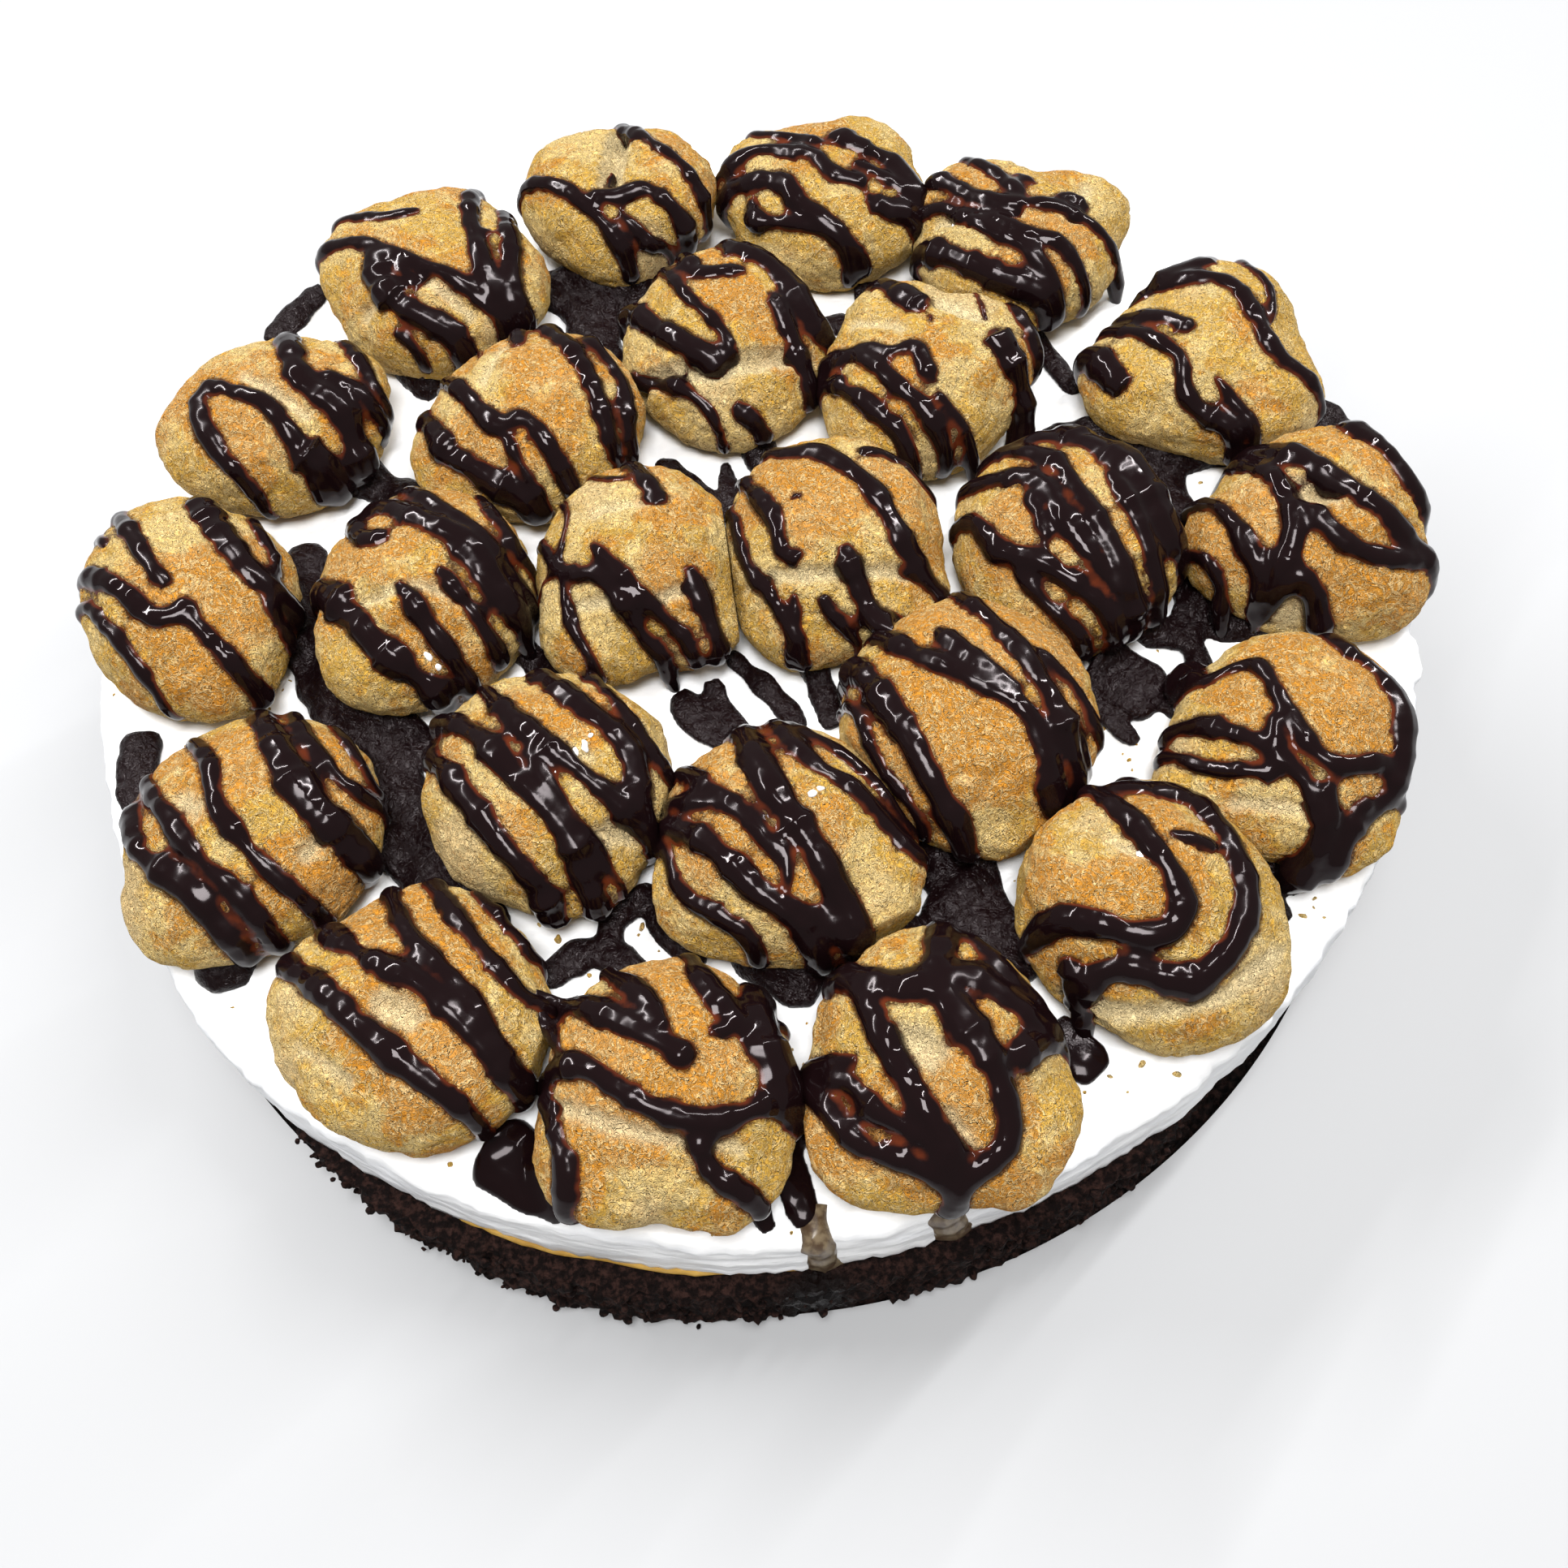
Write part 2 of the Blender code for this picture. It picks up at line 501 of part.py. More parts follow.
def rope(name, route, radii, collection):
    """A closed rope along points in space, with a radius at each."""
    curve = bpy.data.curves.new(name, "CURVE")
    curve.dimensions = "3D"
    curve.bevel_depth = 1.0
    curve.bevel_resolution = 2
    curve.use_fill_caps = True
    spline = curve.splines.new("POLY")
    spline.points.add(len(route) - 1)
    for point, place, radius in zip(spline.points, route, radii):
        point.co = (*place, 1.0)
        point.radius = radius
    guide = bpy.data.objects.new(name, curve)
    shape = bmesh.new()
    shape.from_mesh(bpy.data.meshes.new_from_object(guide))
    bpy.data.objects.remove(guide)
    bmesh.ops.remove_doubles(shape, verts=shape.verts, dist=0.001)
    return mesh_object(name, shape, CHOCOLATE, collection)


def bead(width, rise):
    """Radius and sunk depth of a round rope that shows this width and rises this far above the skin."""
    radius = (width**2 / 4 + rise**2) / (2 * rise)
    return radius, radius - rise


def rounded_ends(count):
    """Share of the full width at each point of a rope, smaller at its two ends."""
    from_end = [min(step, count - 1 - step) for step in range(count)]
    return [ROPE_ENDS[steps] if steps < len(ROPE_ENDS) else 1.0 for steps in from_end]


def drape(skin, stroke):
    """The rope's points and radii on the skin below its plan route; it ends where the skin turns under."""
    width, *points = stroke
    places = []
    for spot in smooth_path(points, ROPE_STEP):
        place, normal, _, _ = skin.ray_cast(Vector((spot.x, spot.y, RAYS_FROM)), Vector((0, 0, -1)))
        if place is not None and place.z > FOOT + ROPE_ABOVE_FOOT:
            places.append((place, normal))
    route = []
    radii = []
    for (place, normal), share in zip(places, rounded_ends(len(places))):
        radius, depth = bead(width * share, ROPE_RISE * width * share)
        route.append(place - normal * depth)
        radii.append(radius)
    return route, radii


def drop_scraps(mesh):
    """Keeps the largest connected piece of the mesh."""
    unseen = set(mesh.verts)
    pieces = []
    while unseen:
        piece = set()
        frontier = {unseen.pop()}
        while frontier:
            piece |= frontier
            frontier = {edge.other_vert(point) for point in frontier for edge in point.link_edges} & unseen
            unseen -= frontier
        pieces.append(piece)
    largest = max(pieces, key=len)
    scraps = [point for piece in pieces if piece is not largest for point in piece]
    bmesh.ops.delete(mesh, geom=scraps, context="VERTS")


def fuse(body, extras, triangles=None):
    """Joins the extras on by one Boolean union, in the first way of UNIONS that leaves a closed mesh."""
    bare = body.data
    for solver, weld in UNIONS:
        body.data = bare
        union = body.modifiers.new("fuse", "BOOLEAN")
        union.operation = "UNION"
        union.operand_type = "COLLECTION"
        union.collection = extras
        union.solver = solver
        union.use_self = solver == "EXACT"
        union.material_mode = "TRANSFER"
        body.data = welded(evaluated_mesh(body), weld)
        if triangles is not None:
            thin(body, triangles)
        if is_closed(body.data):
            break
    for extra in list(extras.objects):
        bpy.data.objects.remove(extra)
    bpy.data.collections.remove(extras)


def welded(mesh, distance):
    """The mesh with edges shorter than this closed up and without loose scraps."""
    shape = bmesh.new()
    shape.from_mesh(mesh)
    bmesh.ops.remove_doubles(shape, verts=shape.verts, dist=distance * MM)
    drop_scraps(shape)
    shape.to_mesh(mesh)
    shape.free()
    return mesh


def thin(body, triangles):
    """Brings the body down to this number of triangles."""
    body.data.calc_loop_triangles()
    collapse = body.modifiers.new("thin", "DECIMATE")
    collapse.ratio = min(1.0, triangles / len(body.data.loop_triangles))
    collapse.use_collapse_triangulate = True
    body.data = evaluated_mesh(body)


def is_closed(mesh):
    shape = bmesh.new()
    shape.from_mesh(mesh)
    closed = all(edge.is_contiguous for edge in shape.edges)
    closed = closed and all(point.is_manifold for point in shape.verts)
    shape.free()
    return closed


def evaluated_mesh(item):
    """The item's mesh with its modifiers applied, which are then removed."""
    bpy.context.view_layer.update()
    graph = bpy.context.evaluated_depsgraph_get()
    mesh = bpy.data.meshes.new_from_object(item.evaluated_get(graph))
    item.modifiers.clear()
    return mesh


def finish_surface(item):
    item.data.shade_smooth()
    item.data.set_sharp_from_angle(angle=math.radians(SHARP_ANGLE))


def make_bun(number):
    walls = walls_between(number)
    body = bun_body(number)
    skin = BVHTree.FromBMesh(body)
    name = f"bun_{number:02d}"
    bun = mesh_object(name, body, CHOUX)
    extras = bpy.data.collections.new(name + "_drizzle")
    bpy.context.scene.collection.children.link(extras)
    for index, stroke in enumerate(DRIZZLE[number]):
        route, radii = drape(skin, stroke)
        if len(route) > 2:
            rope(f"{name}_rope_{index}", route, radii, extras)
    fuse(bun, extras, BUN_TRIANGLES)
    shape = bmesh.new()
    shape.from_mesh(bun.data)
    bmesh.ops.scale(shape, vec=(1 / MM, 1 / MM, 1 / MM), verts=shape.verts)
    keep_inside(shape, number, walls)
    bmesh.ops.translate(shape, vec=(*TOPPINGS_MIDDLE, 0.0), verts=shape.verts)
    bmesh.ops.scale(shape, vec=(MM, MM, MM), verts=shape.verts)
    shape.to_mesh(bun.data)
    shape.free()
    finish_surface(bun)
    return bun


def turned(name, profile, steps, roughen, kind):
    """A solid turned about the middle: profile points are (radius, height), uneven where roughen says."""
    shape = bmesh.new()
    points = [shape.verts.new((radius, 0.0, height)) for radius, height in profile]
    edges = [shape.edges.new(pair) for pair in zip(points, points[1:])]
    bmesh.ops.spin(shape, geom=points + edges, axis=(0, 0, 1), cent=(0, 0, 0), dvec=(0, 0, 0),
                   angle=math.tau, steps=steps, use_merge=True)
    bmesh.ops.remove_doubles(shape, verts=shape.verts, dist=0.001)
    for point in shape.verts:
        radius = math.hypot(point.co.x, point.co.y)
        if radius > 1.0:
            around = math.atan2(point.co.y, point.co.x)
            factor = (radius + roughen(around, radius, point.co.z)) / radius
            point.co.x *= factor
            point.co.y *= factor
    return mesh_object(name, shape, kind)


def swells(table, around):
    """The sum at this angle of the swells in the table."""
    total = 0.0
    for middle, spread, amount in table:
        away = math.remainder(around - math.radians(middle), math.tau)
        total += amount * math.exp(-((away / math.radians(spread)) ** 2))
    return total


def make_sponge():
    crumbs = random.Random(7)

    def crags(around, radius, height):
        if radius < SPONGE_RADIUS - 3:
            return 0.0
        swing = 0.8 * noise.noise(Vector((3 * math.cos(around), 3 * math.sin(around), 0.3)))
        return swing + swells(SPONGE_SWELLS, around) + crumbs.uniform(-SPONGE_CRAG, SPONGE_CRAG)

    side = [
        (SPONGE_RADIUS - 0.5, 0.0),
        (SPONGE_RADIUS, 5.0),
        (SPONGE_RADIUS + 0.2, 10.0),
        (SPONGE_RADIUS - 0.2, 15.0),
        (SPONGE_RADIUS - 1.4, SPONGE_TOP),
    ]
    sponge = turned("sponge", [(0.0, 0.0), *side, (0.0, SPONGE_TOP)], SPONGE_STEPS, crags, SPONGE)
    centre_at(sponge, SPONGE_MIDDLE)
    finish_surface(sponge)
    return sponge


def cream_swing(around):
    """How far the cream's wall stands out of round, all round the tart."""
    ring = Vector((9 * math.cos(around), 9 * math.sin(around), 4.1))
    return swells(CREAM_SWELLS, around) + 0.6 * noise.noise(ring)


def centre_at(item, middle):
    """Moves a layer's mesh to its own middle in plan."""
    shift = MM * Vector((*middle, 0.0))
    for point in item.data.vertices:
        point.co += shift


def make_golden_layer():
    bottom = SPONGE_TOP + GAP
    top = bottom + GOLD_THICKNESS

    def swing(around, radius, height):
        ripple = noise.noise(Vector((9 * math.cos(around), 9 * math.sin(around), 1.0)))
        return cream_swing(around) + swells(GOLD_SWELLS, around) + 0.6 * ripple

    profile = [(0.0, bottom), (GOLD_RADIUS, bottom), (GOLD_RADIUS, top), (0.0, top)]
    layer = turned("golden_layer", profile, GOLD_STEPS, swing, GOLD)
    centre_at(layer, CREAM_MIDDLE)
    return layer


def room_at(spot):
    """Clear distance on the cream from this plan point to the nearest bun's foot or the rim."""
    rim = Vector(CREAM_MIDDLE) - Vector(TOPPINGS_MIDDLE)
    room = CREAM_RADIUS - 2.0 - (spot - rim).length
    for bun in BUNS.values():
        away = Vector((spot.x - bun.x, spot.y - bun.y))
        room = min(room, away.length - FOOT_SHARE * reach(bun, away.normalized()))
    return room - PUDDLE_CLEAR


def make_cream():
    def swing(around, radius, height):
        return cream_swing(around) if radius > CREAM_RADIUS - 6 else 0.0

    profile = [
        (0.0, CREAM_BOTTOM),
        (CREAM_RADIUS + 0.6, CREAM_BOTTOM),
        (CREAM_RADIUS + 0.3, (CREAM_BOTTOM + CREAM_TOP) / 2),
        (CREAM_RADIUS - 0.2, CREAM_TOP - CREAM_EDGE),
        (CREAM_RADIUS - 0.4 - CREAM_EDGE, CREAM_TOP),
        (0.0, CREAM_TOP),
    ]
    cream = turned("cream", profile, CREAM_STEPS, swing, CREAM)
    centre_at(cream, CREAM_MIDDLE)
    extras = bpy.data.collections.new("cream_puddles")
    bpy.context.scene.collection.children.link(extras)
    middle = Vector((*TOPPINGS_MIDDLE, CREAM_TOP))
    for index, (width, *points) in enumerate(PUDDLES):
        spots = [(spot, room_at(spot)) for spot in smooth_path(points, PUDDLE_STEP)]
        spots = [(spot, min(width / 2, room)) for spot, room in spots if room > LEAST_ROOM]
        if len(spots) > 1:
            route = [middle + Vector((*spot, 0.0)) for spot, _ in spots]
            radii = [half * share for (_, half), share in zip(spots, rounded_ends(len(spots)))]
            puddle = rope(f"puddle_{index}", route, radii, extras)
            squash = min(ROPE_RISE * width, PUDDLE_RISE) / (width / 2)
            for point in puddle.data.vertices:
                point.co.z = MM * CREAM_TOP + squash * (point.co.z - MM * CREAM_TOP)
    fuse(cream, extras)
    finish_surface(cream)
    return cream


def main():
    clear_scene()
    make_sponge()
    make_golden_layer()
    make_cream()
    for number in BUNS:
        make_bun(number)


main()
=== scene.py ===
# %% [markdown]
# # A profiterole tart
#
# This lesson dresses a finished set of solids as food: a dark sponge base, a thin golden layer, a thick
# layer of whipped cream, and twenty-four choux buns under poured chocolate. The solids come first, as a
# fixed frame, so every layer and bun below is made in the same place and to the same size as its solid.

# %% Load the frame
import math
import random
from collections import namedtuple

import bmesh
import bpy
from mathutils import Euler, Matrix, Vector, noise
from mathutils.bvhtree import BVHTree
from mathutils.kdtree import KDTree


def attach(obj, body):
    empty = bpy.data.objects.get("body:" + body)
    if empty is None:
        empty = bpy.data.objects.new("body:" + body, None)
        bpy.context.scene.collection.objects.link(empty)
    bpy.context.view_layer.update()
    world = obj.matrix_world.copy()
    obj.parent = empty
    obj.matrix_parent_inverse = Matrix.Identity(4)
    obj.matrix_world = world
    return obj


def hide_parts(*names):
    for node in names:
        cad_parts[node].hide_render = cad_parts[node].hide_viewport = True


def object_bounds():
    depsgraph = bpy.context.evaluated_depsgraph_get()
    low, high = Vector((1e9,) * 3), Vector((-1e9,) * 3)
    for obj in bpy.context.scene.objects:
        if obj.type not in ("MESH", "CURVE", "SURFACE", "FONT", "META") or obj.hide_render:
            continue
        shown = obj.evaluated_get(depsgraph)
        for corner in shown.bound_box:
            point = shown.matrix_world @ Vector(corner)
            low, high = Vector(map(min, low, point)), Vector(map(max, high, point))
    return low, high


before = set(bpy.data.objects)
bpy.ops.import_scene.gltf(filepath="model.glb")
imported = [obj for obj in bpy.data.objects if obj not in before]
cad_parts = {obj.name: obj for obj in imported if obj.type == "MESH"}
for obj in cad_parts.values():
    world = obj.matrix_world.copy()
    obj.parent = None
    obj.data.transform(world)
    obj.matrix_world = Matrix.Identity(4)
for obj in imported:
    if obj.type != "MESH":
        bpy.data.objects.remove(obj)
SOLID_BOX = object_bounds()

# Vector noise draws its offsets from the clock unless it is given a seed
noise.seed_set(5)

print("solids:", len(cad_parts), "box:", [round(1000 * side, 1) for side in SOLID_BOX[1]])

# %% [markdown]
# ## Sizes
#
# Cooks think in millimetres, and so do these numbers. A piece is shaped in millimetres and scaled to
# metres at the very end. X runs to the right, Y to the back and Z up, from the middle of the underside.

# %% Named sizes of the layers
MM = 0.001
SPONGE_RADIUS = 126.8
SPONGE_MIDDLE = Vector((-2.0, -2.4))
SPONGE_TOP = 19.5
GOLD_RADIUS = 125.2
GOLD_TOP = 21.0
CREAM_RADIUS = 126.0
CREAM_MIDDLE = Vector((0.0, 1.2))
CREAM_TOP = 38.0
CREAM_BOTTOM = 21.3
CREAM_SWELLS = ((-140, 16, 2.0), (-106, 12, -0.8), (-66, 26, -2.6), (-6, 22, 1.6), (28, 14, 0.8),
                (150, 30, 0.6))
GOLD_SWELLS = ((-103, 19, 1.8),)
SPONGE_SWELLS = ((-110, 18, 2.6), (-145, 11, -5.5), (-40, 12, -6.2), (-22, 11, -3.2))
WIDEST_ABOVE_CREAM = 8.0
FOOT = CREAM_TOP + 0.3
TOPPINGS_MIDDLE = Vector((-4.0, 1.0))


def clamped(value):
    """The value, held between 0 and 1."""
    return min(1.0, max(0.0, value))


def ring_at(around, radius=1.0, height=0.0):
    """The point of a level ring at this angle."""
    return Vector((radius * math.cos(around), radius * math.sin(around), height))


def shift(shape, middle):
    """Moves a bmesh in plan from the axis to the middle of its layer."""
    bmesh.ops.translate(shape, vec=(*middle, 0.0), verts=shape.verts)


# %% [markdown]
# ## The buns
#
# No two choux buns rise alike: the steam pushes out lobes where the crust is thin. Each bun could be
# sculpted by hand, but a row of numbers keeps it in step with its solid and easy to change. A row gives
# the bun's number, its middle in plan, its half width and half length, how high it stands above its
# widest level, how big its core is, how well it is baked, and then the lobes that swell out of the core.
# A lobe is its place, to the right, back and up, and its size.

# %% The twenty-four buns
def rows(text):
    """A table of numbers as lists, one for each line. A cell with commas, such as 12,-8, is a point."""
    return [[tuple(map(float, cell.split(","))) if "," in cell else float(cell) for cell in line.split()]
            for line in text.strip().splitlines()]


Bun = namedtuple("Bun", "x y half_width half_length crown core baked lobes")
BUNS = {int(number): Bun(*cells[:7], cells[7:]) for number, *cells in rows("""
1 -59.4 76.2 24.3 22.8 14 0.92 0.2 -0.4,0.2,0.15,0.64 0.42,-0.1,0.1,0.62 0.05,0.42,0.18,0.58
2 -20.3 95.5 21.1 19.5 14 0.8 0.2 -0.42,0.02,0.15,0.62 0.42,0,0.2,0.62
3 23.6 93.4 22.9 20.7 14 0.9 0.3 -0.4,0.2,0.15,0.62 0.4,-0.15,0.1,0.62 0.35,0.4,0.18,0.55
4 65 76.9 23.3 20.7 14 0.86 0.35 -0.3,0.42,0.25,0.52 0.48,0.25,0.15,0.5 0,-0.25,0.1,0.74
5 1.3 52.9 21.6 22.3 15 0.9 0.3 0.02,0.22,0.32,0.72 0.05,-0.38,-0.1,0.62
6 41.9 41.9 22.1 22.2 15 0.88 0.25 -0.12,-0.25,0.08,0.76 0.42,0.15,0.22,0.58 -0.15,0.42,0.22,0.54
7 95.6 42.4 23.7 22.2 15 0.84 0.35 -0.48,-0.1,0.05,0.56 0.18,0.38,0.22,0.62 0.32,-0.32,0.05,0.6
8 -89.2 40.3 23 20.1 14 0.92 0.5 -0.35,-0.12,0.12,0.68 0.38,0.15,0.18,0.62
9 -38.6 35.9 23.5 20.7 15 0.88 0.5 0.14,0.12,0.2,0.8 -0.48,-0.25,0.02,0.5
10 19.8 1.9 21.6 23.5 16.5 0.88 0.4 0,0.18,0.18,0.8 -0.22,-0.48,-0.05,0.5 0.4,-0.42,0,0.48
11 64.5 0.4 21.6 23.2 16.5 0.94 0.3 0,0.05,0.18,0.84 -0.1,-0.45,0.02,0.54
12 108.6 -0.7 22.6 21.2 16.5 0.86 0.55 -0.5,-0.1,0.05,0.54 0.18,0.22,0.22,0.66 0.28,-0.35,0.02,0.6
13 -17.2 -1.4 19.5 21.7 16.5 0.86 0.4 0.05,0.16,0.24,0.78 -0.3,-0.48,-0.02,0.52 0.42,-0.42,0,0.46
14 -57 -4.7 20.6 22.8 16.5 0.9 0.5 0.1,0.14,0.18,0.8 -0.28,-0.42,0.05,0.56
15 -101.4 -3.7 20 23 16.5 0.9 0.6 -0.18,0.16,0.18,0.76 0.24,-0.42,0.05,0.58
16 41.8 -37.4 23.4 25.2 17 0.9 0.75 0,0.02,0.2,0.86 0.1,-0.52,0,0.48
17 95.7 -45.7 22.9 22.6 16 0.88 0.6 0.14,0.18,0.18,0.8 -0.5,-0.25,-0.08,0.52 0.3,-0.48,-0.08,0.5
18 -33 -46 22.4 23.3 16 0.9 0.3 0,0.02,0.2,0.84 0.18,-0.52,-0.05,0.46
19 -84.6 -51.6 22.7 22.9 16 0.9 0.6 0.1,0.14,0.16,0.82 -0.3,-0.4,0,0.58
20 8.2 -58.2 23.5 22 15 0.88 0.6 -0.05,0.05,0.22,0.8 0.4,-0.3,0.05,0.58 -0.45,-0.25,0,0.52
21 69 -74 22.7 24.4 17 0.84 0.55 -0.16,0.12,0.42,0.62 0.14,-0.3,-0.05,0.7 0.1,0.42,0,0.54
22 -55 -85.7 24 23 15 0.88 0.65 0.1,-0.15,0.14,0.82 -0.42,0.1,0.05,0.56 0.1,0.45,0.12,0.5
23 -13.3 -101.1 21.5 22.2 15 0.86 0.7 -0.08,0.14,0.26,0.72 0.26,-0.45,0,0.52 -0.4,-0.35,0.02,0.56
24 30.3 -98.4 22.4 23.4 15 0.86 0.6 0,0.04,0.2,0.78 -0.42,-0.28,0,0.56 0.42,-0.28,0.05,0.56
""")}
print("buns:", len(BUNS))

# %% [markdown]
# ## The chocolate's routes
#
# The chocolate was poured in a thin stream that swung from the upper left to the lower right. Each row
# below is one pass of the stream over one bun, seen from above: the bun's number, the width of the rope,
# then the points that it runs through. The wide passes are the ones that the solids carry too.

# %% Passes of the stream over each bun
def by_bun(text):
    """The rows of a table by the bun's number, which stands in the first column."""
    table = {number: [] for number in BUNS}
    for number, *cells in rows(text):
        table[int(number)].append(cells)
    return table


DRIZZLE = by_bun("""
1 4 -81,80 -70,76 -60,69.5 -53,66.5 -47,62.5
1 6 -70,76 -68,67 -63,61 -55,57
1 4.5 -51,92 -50,82 -48,73 -46,65
1 5.5 -44,88 -42,79 -42,69
1 4 -77,87 -68,84 -60,85
2 4 -38,94 -31,89.5 -25,84 -19.5,78
2 4 -27,87 -20,86.5 -14,88 -6,83
2 3 -20,83.5 -14,79.5 -8,81
2 4 -17,108 -13,101 -7,95 -2,89
3 5 3,98 12,98 21,94 25,89 33,86
3 5 5,92 14,89 18,83 25,77
3 3.5 8,88 9,82.5 18,79 28,75.5
3 6 26,104 30,98 38,95 42,89
3 5 31,83.5 36,82 41,82
3 4 29,92 36,89 42,86
4 4.5 47,89 53,82 59,78 65,76.5
4 4 56,92 60,86 64,78
4 4.5 64,76.5 72,76 79,73 85,69
4 3.5 50,79 56,71.5 63,66 68,59.5
4 3.5 55,77 61,70.5 70,67 75,61.5
4 5.5 44,73 50,67 57,62 65,58.5
5 6 -18,61 -13,53 -6,46 0,42
5 3.5 -10,66 -6,57 0,49.5 3,43
5 4.5 -6,70 -4,63 2,62 7,62
5 4.5 11,58 14,50 17.5,42
5 7 6,70 13,64 18,56
5 3.5 -18,46 -11,41 -4,36 -1,32
5 4.5 2,36 7,32.5
6 6 34,60 38,54 42,49
6 3.5 24,42 29,42 34,39 38,40 41,31
6 4.5 28,40 34,32 39,27 42.5,22
6 4 22,38 27,31 34,24
6 3 41,30 46,25 50,21
6 6 53,46 57,40 60,34 58,27
7 4.5 79,53 84,49 89,44 92.5,40
7 4 79,48 85,41 89,35 90,28 97,23
7 3 95,31 99,26 102,22.5
7 5 93,56 101,52 104.5,44 108,36 115,31
7 6 74,42 77,35 80,31
7 6.5 88,58 97,60
8 6.5 -87,57 -84,49 -81,41 -74,36 -71.5,30
8 4 -79,42 -73,41.5 -68,38
8 4 -102,41 -100,33 -96,26 -91,21.5
8 4 -102,42 -94,38.5 -87,35 -82,28
8 8 -83,28 -79,26
9 4.5 -56,46 -50,37 -43,28 -37,28 -29.5,18
9 6 -58,35 -54,27 -47,20.5 -40,17
9 3 -41,26 -39.5,22 -36,17
9 4.5 -40,53 -39,46
9 5.5 -33,52 -27,42 -23,32 -21,24
9 4 -24,47 -19,39 -18,29
10 4 4,20 4,13 9,1 10,-5 14,-8
10 3.5 1,9 3.5,-4 8,-12 12,-19
10 5 13,17 20,14 28,5 32,-3 36,-8
10 4 25,15 32,16 37,12
10 4 21,-5 24,-13 28,-20
10 3.5 16.5,-13 20,-17 24,-20
11 4.5 54,17 61,11 65,1 70,-9 74,-17
11 4.5 50,10 58,6 62,-4 67,-12 71,-15
11 4 56,5 58,-7
11 5 46,2 50,-6 58,-11 68,-18
11 3.5 52,-9 57,-16 63,-21
11 8 68,17 76,9 81,-2
11 5 71,8 75,-2 79,-13
12 4 89,9 93,-2 97,-13
12 5 97,16 101,5 103,-5 100,-14
12 6 102,14 109,5 117,-3 124,-8
12 4.5 105,-3 111,-10 119,-12.5 127,-11
12 6 120,14 126,4
12 4.5 98,-16 104,-15 108,-20
13 5 -17,17 -14,11 -11,3.5
13 4 -34,2 -30,-5 -22,-9 -16,-17 -11,-21
13 3.5 -24.5,-2 -19,-9 -13,-14 -8,-18
13 3.5 -30,-6 -29,-14 -26,-20
13 4.5 -7,-6 -4.5,-12 -3,-16
14 5 -70,10 -66,2 -60,1.5
14 6 -64,11 -55,4 -46,-1 -39,-10
14 4 -58,13 -50,6 -43,0 -40,-4
14 3.5 -59,-8.5 -54,-16 -48,-23
14 3.5 -52,-6 -48,-11 -44,-16
14 7 -75,-5 -69,-12 -62,-20 -54,-25
15 4 -112,10 -106,1 -100,-8
15 6 -98,14 -93,6 -88,-1
15 4 -90,13 -85,4 -84,-6
15 4 -116,-2 -109,-7 -102,-13 -95,-11
15 5 -99,-9 -94,-15 -89,-20
15 3.5 -116,-8 -110,-15 -104,-23
16 4.5 27,-22 33,-30 43,-37 50,-42 54,-51
16 4 36,-24 42,-32 50,-39
16 5 43,-16 49,-27 55,-39 58,-48
16 3.5 53,-29 59,-35 63,-41
16 5.5 22,-28 28,-41 34,-54 38,-60
16 3 21,-36 25,-47 31,-56
17 3.5 85,-34 91,-34 94,-45 100,-54 112,-53
17 4 80,-43 87,-48 96,-57 98,-65
17 3.5 75,-46 82,-52 92,-55
17 8 86,-26 80,-35
17 6 108,-31 115,-42 113,-55 104,-63
18 4.5 -44,-28 -38,-37 -29,-46 -20,-53
18 5 -52,-33 -44,-40 -36,-50 -28,-59 -25,-66
18 5 -54,-39 -47,-49 -40,-59 -33,-67
18 3 -35,-42 -32,-50 -24,-60
18 6 -34,-26 -26,-35 -18,-43 -16,-54
18 4 -25,-26 -19,-35 -13,-44
19 4 -97,-33 -89,-43 -86,-52 -80,-60 -72,-67
19 6.5 -84,-30 -78,-40 -71,-51 -64,-58
19 3.5 -77,-32 -72,-40 -68,-45
19 4.5 -104,-40 -98,-49 -90,-59 -82,-67
19 5.5 -106,-47 -100,-58 -91,-65 -85,-72
20 6 2,-41 6,-53 12,-63 17,-72
20 4.5 8,-39 13,-48 20,-53 28,-61
20 3.5 13,-41 22,-48 28,-56
20 5.5 -12,-56 -4,-63 3,-71 10,-76
20 3.5 -9,-46 -4,-52 3,-60 8,-68
20 4 -12,-61 -9,-69 0,-76
21 5 60,-55 66,-66 71,-78 66,-83 53,-79
21 6 64,-55 76,-56 82,-67 82,-79 73,-89 61,-87
21 5 66,-50 72,-56
21 3 70,-66 79,-68
21 4 52,-83 57,-93
22 4.5 -71,-70 -60,-79 -49,-86 -38,-98
22 4 -59,-65 -53,-76 -44,-86 -37,-97
22 4 -51,-65 -44,-75 -36,-85
22 3.5 -44,-66 -36,-76
22 5 -75,-77 -66,-85 -58,-93 -44,-104
23 4.5 -31,-98 -25,-99 -15,-106 -5,-108.5 4,-105
23 4 -8,-109 -6,-115 0,-119
23 5 -30,-86 -21,-91 -12,-97 -7,-100
23 5 -22,-82 -16,-88 -12,-96
23 5 -8,-81 -3,-90 4,-98
23 5 -32,-101 -29,-111
24 5.5 33,-78 31,-89 38,-102 40,-113 33,-119
24 6 17,-85 26,-89 36,-88 46,-94
24 4.5 19,-90 23,-101 30,-114
24 4 11,-99 18,-100
24 4.5 10,-103 17,-112 29,-118
24 5.5 49,-96 40,-103
""")

